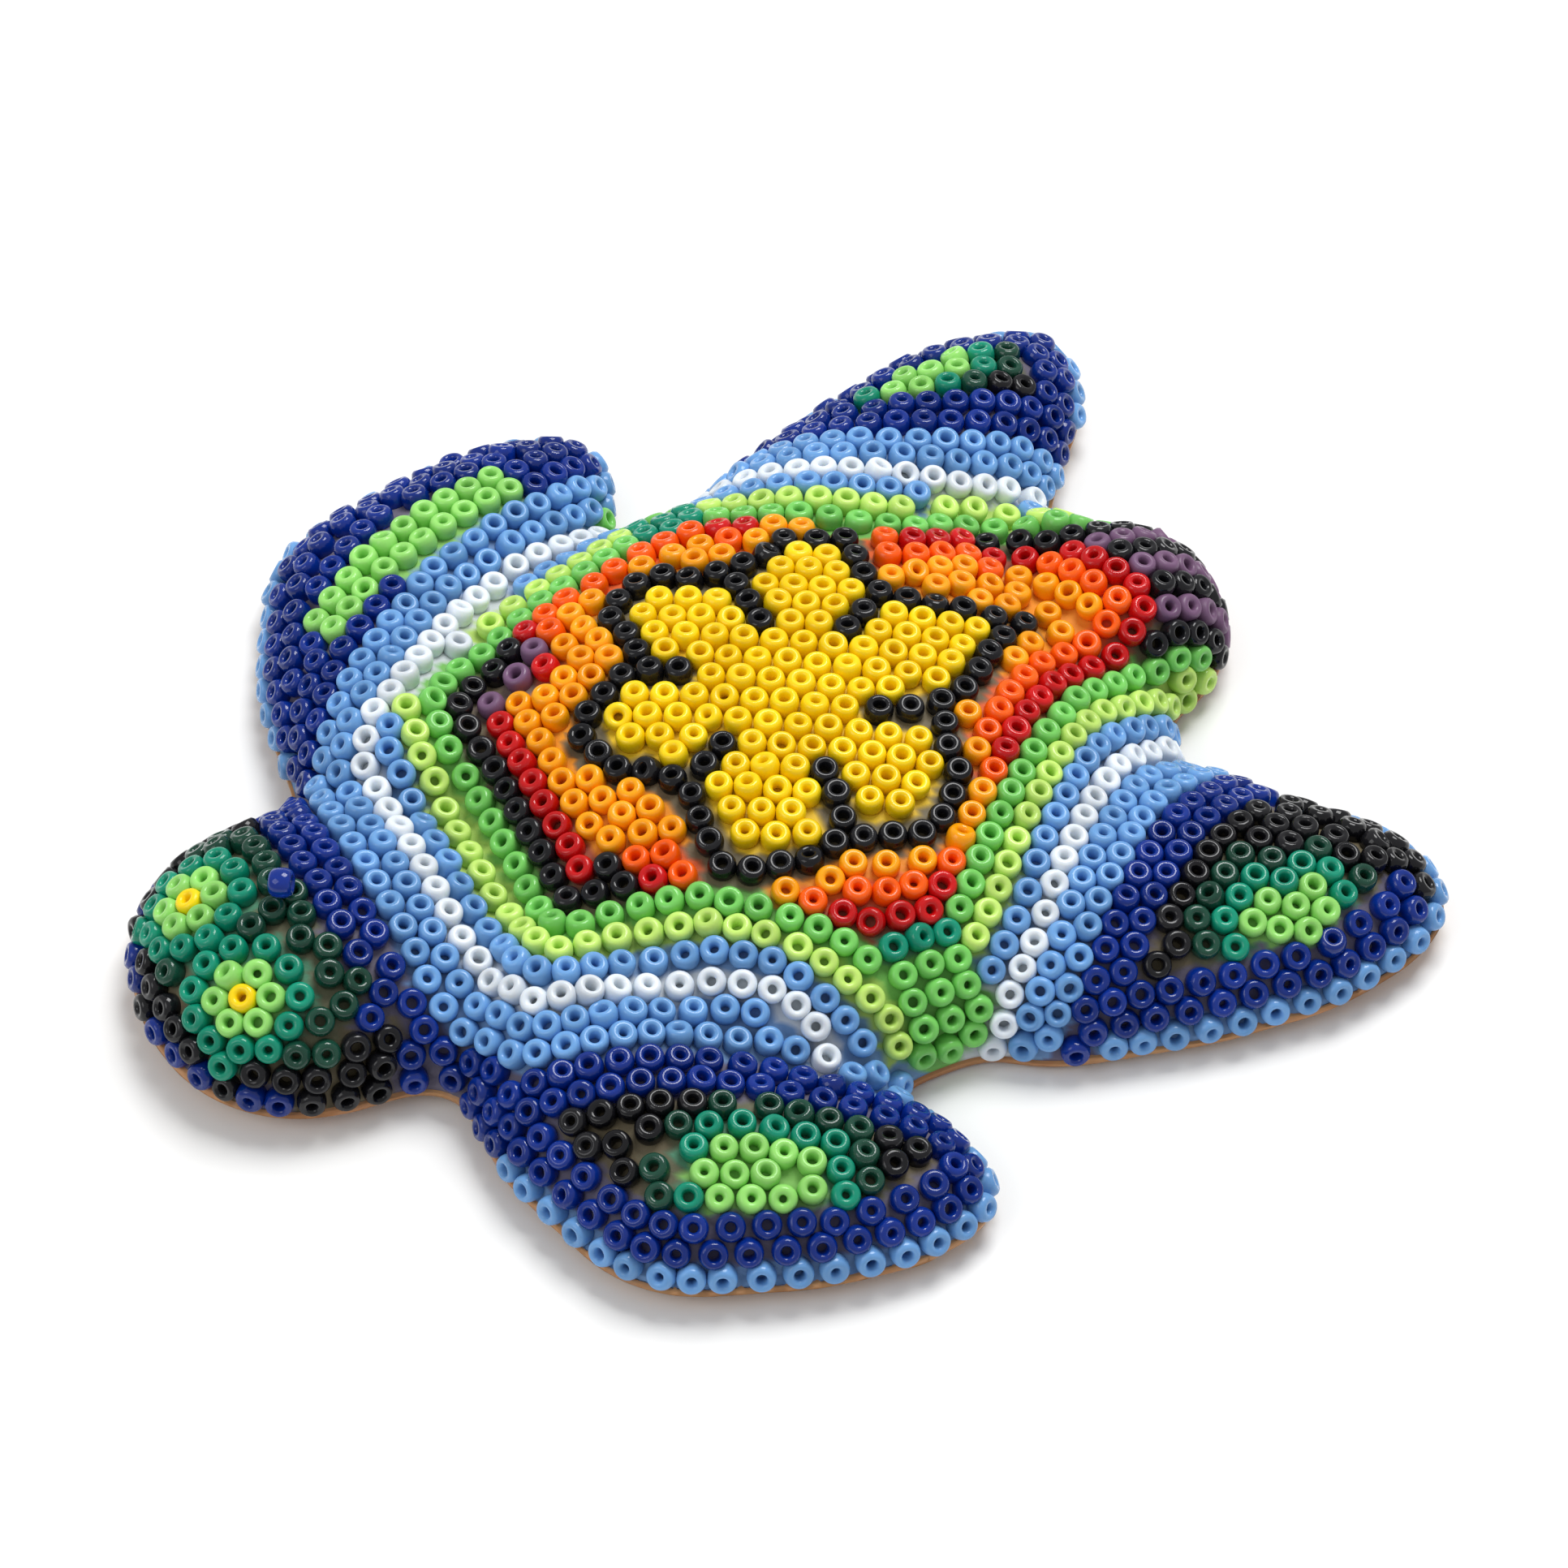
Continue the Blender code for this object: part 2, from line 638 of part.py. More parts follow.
# Head: black at the foot, dark green over it, a teal mask and two ringed eyes.
head_zone = prism(
    "head_zone",
    zone_outline(FRONT_MIDDLE_RAYS[:3], -1, limb_start, ())
    + in_picture([(-12.4, -35.2), (-17.0, -60.0), (17.0, -60.0), (12.4, -35.2)])
    + zone_outline(FRONT_MIDDLE_RAYS[1:3], 1, limb_start, ())[::-1],
)
brow = ellipse(BROW_AT, BROW, 28)
field("head_rim", "black", [head_zone, ground_rim])
field("head_dark_green", "dark_green", [head_zone], [ground_over_rim, grown(brow, FIELD_GAP)])
eyes = [(side * EYE[0], EYE[1]) for side in (1, -1)]
eye_rims = [ellipse(eye, (EYE_RING + half_gap,) * 2, 18) for eye in eyes]
field("head_teal", "teal", [brow], [ground_over_rim, *eye_rims])
for eye, word in zip(eyes, ("left", "right")):
    field(
        f"eye_{word}_ring", "light_green",
        [ellipse(eye, (EYE_RING - half_gap,) * 2, 18)],
        [ground_over_rim, ellipse(eye, (EYE_HOLE,) * 2, 12)],
    )
    seed_bead(f"eye_{word}_bead", "yellow", *eye, -BEAD_LAYER + BEAD_HEIGHT / 2 + 0.1)
seed_bead("stray_bead", "cobalt", *STRAY_BEAD, BEAD_RADIUS + 0.1, 90)

# Tail.
tail = in_picture(TAIL_PLATE)
field("tail_purple", "purple", [tail, rectangle(-20, 20, 20, TAIL_SPLIT)])
field("tail_black", "black", [tail, rectangle(-20, TAIL_SPLIT + FIELD_GAP, 20, 50)])
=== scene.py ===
"""Looks of the beaded sea turtle: 1,375 glass beads set row by row in beeswax over a carved wood core.

The frame gives the turtle's box, its eyes, its flower and its stray bead. Lengths here are in
millimetres, in the frame's own axes (+Z up, head towards -Y, the turtle's left side towards +X), and
MM turns them into metres. A bead's field is the patch of one colour that it belongs to.
"""

import json
import math
import random

import bpy
import numpy as np
from mathutils import Matrix, Vector
from mathutils.bvhtree import BVHTree


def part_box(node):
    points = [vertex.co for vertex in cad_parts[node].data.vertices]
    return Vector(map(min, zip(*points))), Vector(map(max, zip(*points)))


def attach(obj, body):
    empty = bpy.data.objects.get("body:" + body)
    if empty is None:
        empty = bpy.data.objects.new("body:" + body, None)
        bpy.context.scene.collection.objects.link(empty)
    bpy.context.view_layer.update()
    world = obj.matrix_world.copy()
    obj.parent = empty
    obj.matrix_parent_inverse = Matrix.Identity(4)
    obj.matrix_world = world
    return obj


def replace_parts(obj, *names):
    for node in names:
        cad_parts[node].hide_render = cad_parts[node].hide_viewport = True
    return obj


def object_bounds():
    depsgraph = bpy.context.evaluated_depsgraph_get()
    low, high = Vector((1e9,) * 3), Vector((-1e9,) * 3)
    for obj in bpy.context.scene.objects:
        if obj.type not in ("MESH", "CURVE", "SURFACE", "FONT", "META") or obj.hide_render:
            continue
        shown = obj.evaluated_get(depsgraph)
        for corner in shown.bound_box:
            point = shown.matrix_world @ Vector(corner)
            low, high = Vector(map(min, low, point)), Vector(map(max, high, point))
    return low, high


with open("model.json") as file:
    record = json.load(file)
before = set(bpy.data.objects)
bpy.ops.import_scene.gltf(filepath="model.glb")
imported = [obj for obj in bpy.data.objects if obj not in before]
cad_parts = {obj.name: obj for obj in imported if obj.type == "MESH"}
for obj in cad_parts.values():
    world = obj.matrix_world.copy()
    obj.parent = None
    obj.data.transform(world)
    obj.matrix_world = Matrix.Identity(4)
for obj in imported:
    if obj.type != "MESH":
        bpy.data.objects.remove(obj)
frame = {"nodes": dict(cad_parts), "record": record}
cad_low, cad_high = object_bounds()

MM = 0.001
RANDOM = random.Random(20)

# Body: blobs fused into one skin over the beads' tops. x, y, half width, half length, top, squareness.
EQUATOR = 1.0
SKIN_VOXEL = 0.6
SKIN_GROWTH = 0.65
SKIN_SMOOTHING = 44
BLOB_SEGMENTS, BLOB_RINGS = 48, 24
MIDDLE = (
    (0.0, -0.4, 25.6, 25.4, 12.3, 2.4),
    (0.0, 9.3, 17.5, 18.5, 10.4, 2.2),
    (-3.2, 26.8, 7.8, 8.2, 9.9, 2.2),
    (-9.0, 24.8, 5.2, 4.6, 8.6, 2.2),
    (0.0, -37.3, 12.1, 12.0, 10.4, 2.2),
    (0.0, -30.8, 13.2, 8.6, 9.5, 2.2),
)
# Flippers as chains of round blobs: x, y, radius, height of the top.
FORE = (
    (12.2, -23.3, 8.8, 10.2),
    (20.2, -21.8, 10.1, 8.8),
    (26.4, -19.2, 10.4, 8.2),
    (29.5, -13.0, 9.1, 7.6),
    (32.4, -8.2, 6.6, 6.8),
    (34.3, -5.0, 4.0, 5.8),
)
HIND = (
    (17.5, 11.6, 12.4, 9.6),
    (20.7, 19.3, 11.6, 8.6),
    (24.3, 25.3, 9.0, 8.2),
    (26.0, 29.8, 6.8, 7.2),
    (27.2, 32.4, 4.6, 6.0),
)
FORE_PIVOT = (18.0, -18.0)
HIND_PIVOT = (14.0, 8.0)
LIMBS = {
    # name: chain, side, turn in degrees, pivot, width factor
    "fore_left": (FORE, 1, -4.0, FORE_PIVOT, 1.0),
    "fore_right": (FORE, -1, 4.4, FORE_PIVOT, 1.0),
    "hind_left": (HIND, 1, 1.8, HIND_PIVOT, 1.0),
    "hind_right": (HIND, -1, -1.2, HIND_PIVOT, 0.9),
}
BLOBS_PER_LINK = 5

# Underside: a flat belly that rises outwards as a shallow cone.
BELLY_RADIUS = 20.0
CONE_RADIUS = 62.0
CONE_RISE = 2.8

# Beads: 11/0 seed beads. Powers below 1 flatten the outer wall and the wall of the hole.
BEAD_RADIUS = 1.02
BEAD_HEIGHT = 1.5
BEAD_STEPS = 26
BEAD_RING = 12
OUTER_POWER, HOLE_POWER = 0.9, 0.6
HOLES = (0.24, 0.28, 0.31, 0.35)
SIZE_SPREAD = 0.018
HEIGHT_FACTORS = (0.9, 1.08)
# How a bead sits: usual lean in degrees, the share that lean more and by how much, depth below flush.
LEAN = 5.0
LOOSE_SHARE = 0.06
LOOSE_LEAN = (6, 22)
SINK, SINK_SPREAD = 0.03, 0.05
STRAY_AXIS = (0.55, 0.83, 0.1)

# Rows: the pitch along a row, the step to the next row, and the nearest a new bead may come, in pitches.
PITCH = 2.06
ROW = 1.92
CROWDING = 0.9
RING_CROWDING = 0.86
SHELL_CROWDING = 0.88
BAND_CROWDING = 0.8
YELLOW_CROWDING = 0.76
NO_NEIGHBOUR = 9.0
STEP = 0.05
# Height of the lowest row over the sole, and how far under it other rows and filling beads may reach.
RIM_LIFT = 1.6
ROW_SLACK, FILL_SLACK = 0.25, 0.1
RIM_ROWS = 3
RIM_SPACING = 0.3
CLIMB_STEP = 0.12
# Passes: beads fill bare patches of this radius, then are pushed apart for so many rounds. Pushed apart: the
# gap aimed for in pitches, the push each round, and the pull back to the row.
PASSES = ((1.84, 30), (1.66, 40))
RELAXED = 0.985
PUSH, PULL = 0.32, 0.04

# Wax and wood: inset from the skin below and above a height over the sole, and the painted light that the
# glass throws on the wax: its largest share and its reach.
WAX_TOE, WAX_TOE_HEIGHT = 0.8, 1.1
WAX_DEPTH = 1.25
WAX_LOWEST = 0.5
WAX_PAINTED_GLOW = 0.72
PAINTED_GLOW_REACH = 2.5
WOOD_LIP, WOOD_LIP_HEIGHT = 0.6, 0.8
WOOD_DEPTH = 3.0

# Shell picture: pairs of a point on the picture's edge and the point of the white row outside it.
PICTURE_X = -1.0
FRONT_RIGHT = (
    ((-20.4, -3.0), (-25.2, -5.5)),
    ((-19.0, -9.6), (-23.8, -9.8)),
    ((-16.6, -14.8), (-21.5, -15.9)),
    ((-13.4, -20.0), (-16.4, -22.3)),
    ((-12.2, -21.4), (-13.7, -26.5)),
)
FRONT_MIDDLE = (
    ((-10.2, -21.4), (-11.0, -28.5)),
    ((0.0, -21.4), (0.0, -27.9)),
    ((6.6, -21.4), (10.0, -28.1)),
)
FRONT_LEFT = (
    ((7.8, -20.6), (14.2, -25.8)),
    ((8.1, -17.8), (15.4, -18.3)),
    ((10.2, -12.6), (17.1, -13.8)),
    ((14.0, -8.0), (20.2, -9.8)),
    ((18.4, -3.8), (23.5, -9.2)),
)
REAR_LEFT = (
    ((19.2, 2.6), (24.9, 4.2)),
    ((15.8, 5.7), (22.7, 7.1)),
    ((10.6, 10.9), (17.8, 11.5)),
    ((6.2, 16.3), (12.9, 17.2)),
    ((4.2, 19.0), (10.9, 20.0)),
    ((3.6, 23.5), (9.4, 24.4)),
)
REAR_RIGHT = (
    ((-20.4, 2.6), (-25.8, 5.0)),
    ((-16.4, 9.6), (-22.2, 10.8)),
    ((-13.0, 14.0), (-19.7, 15.4)),
    ((-12.5, 18.6), (-17.2, 19.8)),
    ((-11.0, 23.2), (-15.6, 24.6)),
)
APEX = (-0.2, 28.8)
WHITE_ROW = 3
CROTCH = (24.6, -8.9)
SHELL = [edge for edge, _ in FRONT_MIDDLE + FRONT_LEFT + REAR_LEFT] + [APEX]
SHELL += [edge for edge, _ in REAR_RIGHT[::-1] + FRONT_RIGHT]

# Rows from the picture's edge inwards by zone: least and most x, least and most y, fields. First fit wins.
FAR = 99.0
SHELL_ROW = 1.72
SHELL_ROWS = 5
WARM = ("shell_red", "shell_orange", "amber")
SHELL_ZONES = (
    (-FAR, -10.5, -FAR, -13.8, ("shell_black_front", "shell_purple") + WARM),
    (-FAR, FAR, -FAR, -18.6, ("shell_black_front",) + WARM),
    (2.5, FAR, -FAR, -16.2, ("shell_black_front",) * 3 + WARM),
    (-FAR, -7.4, 18.8, FAR, ("shell_black_rear",) + WARM),
    (-FAR, -12.0, -12.4, 1.0, WARM[1:]),
    (-FAR, FAR, -FAR, FAR, WARM),
)
# No red and no orange this near the flower.
RED_CLEARANCE, ORANGE_CLEARANCE = 3.3, 2.5

# Teal wedges at the picture's side corners, going over to green at a reach from its middle.
CORNER_REACH = 22.6
CORNER_START, CORNER_END = 20.8, 27.0
CORNER_ROWS = (0.0, 1.9, -1.9)

# Black outline of the flower about its middle: a loop over the six petals, and the slits between them.
FLOWER_LOOP = (
    (-0.4, 17.4), (-2.4, 13.9), (-4.0, 10.6), (-6.3, 8.6), (-8.2, 8.6), (-12.0, 9.0), (-13.7, 5.4),
    (-12.6, 2.0), (-12.3, -1.2), (-14.8, -4.8), (-13.9, -8.3), (-12.0, -9.1), (-7.7, -9.2), (-6.4, -11.2),
    (-5.9, -12.9), (-4.2, -15.0), (-0.2, -15.2), (1.8, -13.7), (3.3, -11.2), (5.0, -10.8), (7.2, -11.3),
    (11.4, -11.4), (13.2, -9.0), (13.6, -6.6), (13.1, -3.6), (13.6, -1.0), (15.1, 2.6), (14.1, 4.6),
    (12.9, 6.0), (8.6, 7.2), (5.6, 8.2), (4.9, 10.0), (3.6, 11.7), (2.0, 13.6), (0.6, 15.8),
)
FLOWER_SLITS = (
    ((-4.3, 6.8), (-3.1, 4.7)),
    ((5.0, 6.0), (4.1, 3.9)),
    ((12.0, -2.4), (9.9, -2.2), (7.5, -1.8)),
    ((3.7, -9.0), (2.7, -7.0)),
    ((-6.3, -9.3), (-5.5, -7.4), (-4.4, -5.9)),
    ((-10.9, 0.0), (-7.8, -0.1), (-5.0, -0.1)),
)
FLOWER_ROWS = 1.78
FLOWER_PITCH = 2.2
FLOWER_REACH = 18

# Rows outside the picture. They run on past the last pair of points, and further over the flippers.
BANDS = ("green", "lime", "sky", "white", "blue", "blue", "root", "root")
LAST_BAND = len(BANDS)
LIMB_ROWS = 8
FRONT_OVERRUN, CROTCH_OVERRUN = 6.0, 0.5
FORE_OVERRUN = (6.0, 9.0)
HIND_OVERRUN = (3.0, 8.0)
NECK_OVERRUN = 5.0
NECK_HALF, NECK_START = 12.5, -28.0
# Between the flippers, inside these limits, the bands run down to the foot and no row follows the rim.
SIDE_REACH, SIDE_HALF = 27.5, 7.0

# Middles and half sizes of the nested colours on the flippers, on the left-hand drawing.
FORE_PANEL = ((31.6, -17.2), (2.9, 4.8), 12.0)
HIND_PANEL = ((28.2, 23.4), (2.5, 3.7), -14.0)
PANEL_COLOURS = ((0.0, "light"), (2.0, "teal"), (3.7, "dark"))
HIND_AXIS = ((18.0, 11.0), (27.5, 33.0))
STRIPE = ((-24.3, -25.7), (-26.5, -21.9), (-28.6, -18.3), (-30.6, -13.5), (-32.0, -7.2))

# Tail: stripes counted from its left side, from under the shell's edge to past the tip.
TAIL_LEFT, TAIL_MIDDLE = 3.4, -2.2
TAIL_START, TAIL_END = 22.0, 38.0
TAIL_STRIPE = 1.82
TAIL_STRIPES = 7
TAIL_HALF = 9.5
TAIL_GAP = 0.2

# Head: rings round an eye (radius, beads, field), and the limits of its teal and dark green.
EYE_RINGS = ((2.08, 6, "ring"), (4.05, 11, "teal"))
RING_TURN = 0.3
HEAD_RIM_END, HEAD_RIM_HALF = -33.6, 13.5
HEAD_FILL_END, HEAD_FILL_HALF = -36.2, 13.0
TEAL_REACH = 5.2
BLACK_HEIGHT = 4.2
NAPE, NAPE_HEIGHT = -38.0, 7.0
NAPE_RIGHT, NAPE_RIGHT_SIDE = -37.4, -2.5
RIM_COBALT_SHARE = 0.45


def ground(x, y):
    """Height of the underside at a plan point."""
    out = max(0.0, math.hypot(x, y) - BELLY_RADIUS)
    return CONE_RISE * out / (CONE_RADIUS - BELLY_RADIUS)


def limb_point(x, y, side, turn, pivot):
    """A point of the left-hand drawing turned about the limb's root, on the limb's own side."""
    angle = math.radians(turn)
    dx, dy = x - pivot[0], y - pivot[1]
    turned_x = pivot[0] + dx * math.cos(angle) - dy * math.sin(angle)
    turned_y = pivot[1] + dx * math.sin(angle) + dy * math.cos(angle)
    return side * turned_x, turned_y


def blobs():
    """Every blob of the body as x, y, half width, half length, top, squareness."""
    found = list(MIDDLE)
    for chain, side, turn, pivot, factor in LIMBS.values():
        for first, second in zip(chain, chain[1:]):
            for i in range(BLOBS_PER_LINK + 1):
                t = i / BLOBS_PER_LINK
                x, y, radius, top = (p * (1 - t) + q * t for p, q in zip(first, second))
                x, y = limb_point(x, y, side, turn, pivot)
                found.append((x, y, radius * factor, radius * factor, top, 2.0))
    return found


def new_mesh(name, points, faces):
    mesh = bpy.data.meshes.new(name)
    mesh.from_pydata(points, [], faces)
    return mesh


def ball(segments, rings):
    """Unit sphere as points and faces."""
    points = [(0.0, 0.0, 1.0)]
    for i in range(1, rings):
        polar = math.pi * i / rings
        for j in range(segments):
            turn = 2 * math.pi * j / segments
            points.append(
                (math.sin(polar) * math.cos(turn), math.sin(polar) * math.sin(turn), math.cos(polar))
            )
    points.append((0.0, 0.0, -1.0))
    last = len(points) - 1
    faces = []
    for j in range(segments):
        k = (j + 1) % segments
        faces.append((0, 1 + j, 1 + k))
        for i in range(rings - 2):
            a, b = 1 + i * segments, 1 + (i + 1) * segments
            faces.append((a + j, b + j, b + k, a + k))
        a = 1 + (rings - 2) * segments
        faces.append((last, a + k, a + j))
    return points, faces


def body_skin():
    """The blobs fused into one smooth fine mesh, fitted to the frame's box; points in millimetres."""
    directions, ball_faces = ball(BLOB_SEGMENTS, BLOB_RINGS)
    points, faces = [], []
    for x, y, half_width, half_length, top, power in blobs():
        start = len(points)
        for a, b, c in directions:
            size = (abs(a) ** power + abs(b) ** power + abs(c) ** power) ** (1 / power)
            points.append(
                (
                    x + a / size * (half_width + SKIN_GROWTH),
                    y + b / size * (half_length + SKIN_GROWTH),
                    EQUATOR + c / size * (top - EQUATOR),
                )
            )
        faces += [tuple(start + i for i in face) for face in ball_faces]
    body = bpy.data.objects.new("skin", new_mesh("skin", points, faces))
    bpy.context.scene.collection.objects.link(body)
    fuse = body.modifiers.new("fuse", "REMESH")
    fuse.mode = "VOXEL"
    fuse.voxel_size = SKIN_VOXEL
    smooth = body.modifiers.new("smooth", "SMOOTH")
    smooth.factor = 0.5
    smooth.iterations = SKIN_SMOOTHING
    graph = bpy.context.evaluated_depsgraph_get()
    mesh = bpy.data.meshes.new_from_object(body.evaluated_get(graph), depsgraph=graph)
    bpy.data.objects.remove(body)
    found = np.empty(len(mesh.vertices) * 3)
    mesh.vertices.foreach_get("co", found)
    found = found.reshape(-1, 3)
    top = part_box("shell_flower_yellow")[1].z / MM
    for axis in (0, 1):
        low, high = found[:, axis].min(), found[:, axis].max()
        share = (found[:, axis] - low) / (high - low)
        edge = cad_low[axis] / MM - SKIN_GROWTH
        found[:, axis] = edge + share * ((cad_high[axis] - cad_low[axis]) / MM + 2 * SKIN_GROWTH)
    found[:, 2] = EQUATOR + (found[:, 2] - EQUATOR) * (top - EQUATOR) / (found[:, 2].max() - EQUATOR)
    mesh.vertices.foreach_set("co", found.ravel())
    mesh.update()
    return mesh


SKIN = body_skin()
SKIN_TREE = BVHTree.FromPolygons([v.co for v in SKIN.vertices], [p.vertices for p in SKIN.polygons])


def drop(x, y):
    """The point of the skin over a plan point, or None beside the body."""
    hit = SKIN_TREE.ray_cast(Vector((x, y, 40)), Vector((0, 0, -1)))[0]
    return hit if hit and hit.z > EQUATOR + 0.05 else None


def snap(point):
    """The nearest point of the skin and its normal."""
    found = SKIN_TREE.find_nearest(point)
    return found[0], found[1]


def lift(point):
    """Height of a point over the underside."""
    return point.z - ground(point.x, point.y)


def walk(x, y, dx, dy, distances):
    """Plan points reached over the skin from a start, at rising distances along one direction."""
    here = drop(x, y)
    level = here.z if here else EQUATOR
    walked, points = 0.0, []
    for distance in distances:
        while walked < distance:
            x, y = x + dx * STEP, y + dy * STEP
            here = drop(x, y)
            reached = here.z if here else EQUATOR
            walked += math.hypot(STEP, reached - level)
            level = reached
        points.append((x, y))
    return points


def ray_points(pairs, rows):
    """For each pair, a plan point per row outside the picture: evenly to the white row, then a row apart."""
    found = []
    for edge, white in pairs:
        dx, dy = white[0] - edge[0], white[1] - edge[1]
        length = math.hypot(dx, dy)
        shares = [(row + 0.5) / (WHITE_ROW + 0.5) for row in range(WHITE_ROW + 1)]
        points = [(edge[0] + dx * share, edge[1] + dy * share) for share in shares]
        distances = [(row - WHITE_ROW) * ROW for row in range(WHITE_ROW + 1, rows)]
        found.append(points + walk(*white, dx / length, dy / length, distances))
    return found


def extended(line, start, end):
    """A plan polyline drawn on past its two ends."""
    (ax, ay), (bx, by) = line[0], line[1]
    length = math.hypot(ax - bx, ay - by) or 1.0
    first = (ax + (ax - bx) / length * start, ay + (ay - by) / length * start)
    (cx, cy), (dx, dy) = line[-1], line[-2]
    length = math.hypot(cx - dx, cy - dy) or 1.0
    last = (cx + (cx - dx) / length * end, cy + (cy - dy) / length * end)
    return [first] + list(line) + [last]


def plan_samples(line):
    """Closely spaced points along a plan polyline."""
    for (ax, ay), (bx, by) in zip(line, line[1:]):
        count = max(1, int(math.hypot(bx - ax, by - ay) / STEP))
        for i in range(count):
            t = i / count
            yield ax + (bx - ax) * t, ay + (by - ay) * t
    yield line[-1]


def trace(line):
    """Stretches of skin points over a plan polyline, down to just below the lowest row."""
    stretches, current = [], []
    for x, y in plan_samples(line):
        point = drop(x, y)
        if point is not None and lift(point) >= RIM_LIFT - ROW_SLACK:
            current.append(point)
        elif current:
            stretches.append(current)
            current = []
    if current:
        stretches.append(current)
    return stretches


class Layout:
    """The beads set so far, with a grid of cells to find neighbours fast."""

    def __init__(self):
        self.points = []
        self.fields = []
        self.cells = {}

    def cell(self, point):
        """The grid cell that holds a point."""
        return tuple(int(math.floor(v / PITCH)) for v in point)

    def nearest(self, point):
        """Distance to the nearest bead and that bead's index."""
        best, index = NO_NEIGHBOUR, -1
        cx, cy, cz = self.cell(point)
        for i in range(cx - 1, cx + 2):
            for j in range(cy - 1, cy + 2):
                for k in range(cz - 1, cz + 2):
                    for n in self.cells.get((i, j, k), ()):
                        distance = (self.points[n] - point).length
                        if distance < best:
                            best, index = distance, n
        return best, index

    def add(self, point, field, crowding=CROWDING):
        """Sets a bead unless it would sit on another. True if it was set."""
        if field is None or self.nearest(point)[0] < PITCH * crowding:
            return False
        self.cells.setdefault(self.cell(point), []).append(len(self.points))
        self.points.append(point.copy())
        self.fields.append(field)
        return True


LAYOUT = Layout()


def lay(curve, field_of, crowding=CROWDING):
    """Sets beads along a curve of skin points, a pitch apart."""
    travelled, due = 0.0, 0.0
    for i, point in enumerate(curve):
        if i:
            travelled += (point - curve[i - 1]).length
        if travelled >= due and LAYOUT.add(point, field_of(point), crowding):
            due = travelled + PITCH


def lay_plan(line, field_of, crowding=CROWDING):
    for stretch in trace(line):
        lay(stretch, field_of, crowding)


# ---------------------------------------------------------------- where each colour goes


def polygon_inside(point, polygon):
    """True if a plan point is inside a closed plan outline."""
    x, y = point
    inside = False
    for (ax, ay), (bx, by) in zip(polygon, polygon[1:] + polygon[:1]):
        if (ay > y) != (by > y) and x < (bx - ax) * (y - ay) / (by - ay) + ax:
            inside = not inside
    return inside


def inset_polygon(corners, distance):
    """A counter-clockwise outline with every side moved inwards."""
    normals = []
    for (ax, ay), (bx, by) in zip(corners, corners[1:] + corners[:1]):
        length = math.hypot(bx - ax, by - ay)
        normals.append(((ay - by) / length, (bx - ax) / length))
    points = []
    for (x, y), (ax, ay), (bx, by) in zip(corners, [normals[-1]] + normals[:-1], normals):
        reach = distance / (1 + ax * bx + ay * by)
        points.append((x + (ax + bx) * reach, y + (ay + by) * reach))
    return points


def picture_depth(x, y):
    """Distance inwards from the picture's edge, negative outside it."""
    distance = distance_to_line(x, y, SHELL + SHELL[:1])
    return distance if polygon_inside((x, y), SHELL) else -distance


def distance_to_line(x, y, line):
    """Distance from a plan point to the nearest side of a polyline."""
    best = FAR
    for (ax, ay), (bx, by) in zip(line, line[1:]):
        length2 = (bx - ax) ** 2 + (by - ay) ** 2
        t = max(0.0, min(1.0, ((x - ax) * (bx - ax) + (y - ay) * (by - ay)) / length2))
        best = min(best, math.hypot(x - ax - t * (bx - ax), y - ay - t * (by - ay)))
    return best


def shell_field(point):
    """The field of the rows between the picture's edge and the flower."""
    x, y = point.x, point.y
    row = int(max(0.0, picture_depth(x, y)) / SHELL_ROW)
    fits = (order for x0, x1, y0, y1, order in SHELL_ZONES if x0 < x < x1 and y0 < y < y1)
    order = next(fits)
    field = order[min(row, len(order) - 1)]
    beside_flower = distance_to_line(x, y, FLOWER + FLOWER[:1])
    if field == "shell_red" and beside_flower < RED_CLEARANCE:
        field = "shell_orange"
    if field == "shell_orange" and beside_flower < ORANGE_CLEARANCE:
        field = "amber"
    if field == "amber":
        field = "shell_amber_front" if y < 0 else "shell_amber_rear"
    return field


def band_field(band, point):
    """The field of a band's bead from where it lies round the shell."""
    side = "left" if point.x > PICTURE_X else "right"
    if band == "root":
        if point.y > 0:
            return f"hind_{side}_root"
        if abs(point.x) < NECK_HALF and point.y < NECK_START:
            return "neck_cobalt"
        return f"fore_{side}_root"
    return f"{band}_front" if point.y < 0 else f"{band}_rear_{side}"


def limb_of(point):
    """The flipper on a point's side and end of the body."""
    side = "left" if point.x > PICTURE_X else "right"
    return f"fore_{side}" if point.y < 0 else f"hind_{side}"


def panel_part(limb, point):
    """The field of a flipper's panel at a point: an oval of light green with the other colours round it."""
    _, side, turn, pivot, _ = LIMBS[limb]
    (x, y), (half_width, half_length), lean = FORE_PANEL if limb.startswith("fore") else HIND_PANEL
    middle = limb_point(x, y, side, turn, pivot)
    angle = math.radians(side * (lean + turn))
    dx, dy = point.x - middle[0], point.y - middle[1]
    across = dx * math.cos(angle) + dy * math.sin(angle)
    along = -dx * math.sin(angle) + dy * math.cos(angle)
    size = math.hypot(across / half_width, along / half_length) + 0.001
    outside = math.hypot(across, along) * (1 - 1 / size)
    for reach, part in PANEL_COLOURS:
        if outside < reach:
            return f"{limb}_{part}"
    return f"{limb}_black"


def faces_tail(limb, point):
    """True on the tail's side of the left hind flipper, where the black reaches the rim."""
    (ax, ay), (bx, by) = HIND_AXIS
    return limb == "hind_left" and (bx - ax) * (point.y - ay) > (by - ay) * (point.x - ax)


def limb_field(point, rim_row=None):
    """The field of a flipper's bead; the rows that follow the rim are counted from the foot."""
    limb = limb_of(point)
    if rim_row == 0:
        return f"{limb}_rim"
    if rim_row is not None and not faces_tail(limb, point):
        return f"{limb}_cobalt"
    if limb == "fore_right":
        return "fore_right_cobalt"
    return panel_part(limb, point)


# ---------------------------------------------------------------- laying the beads

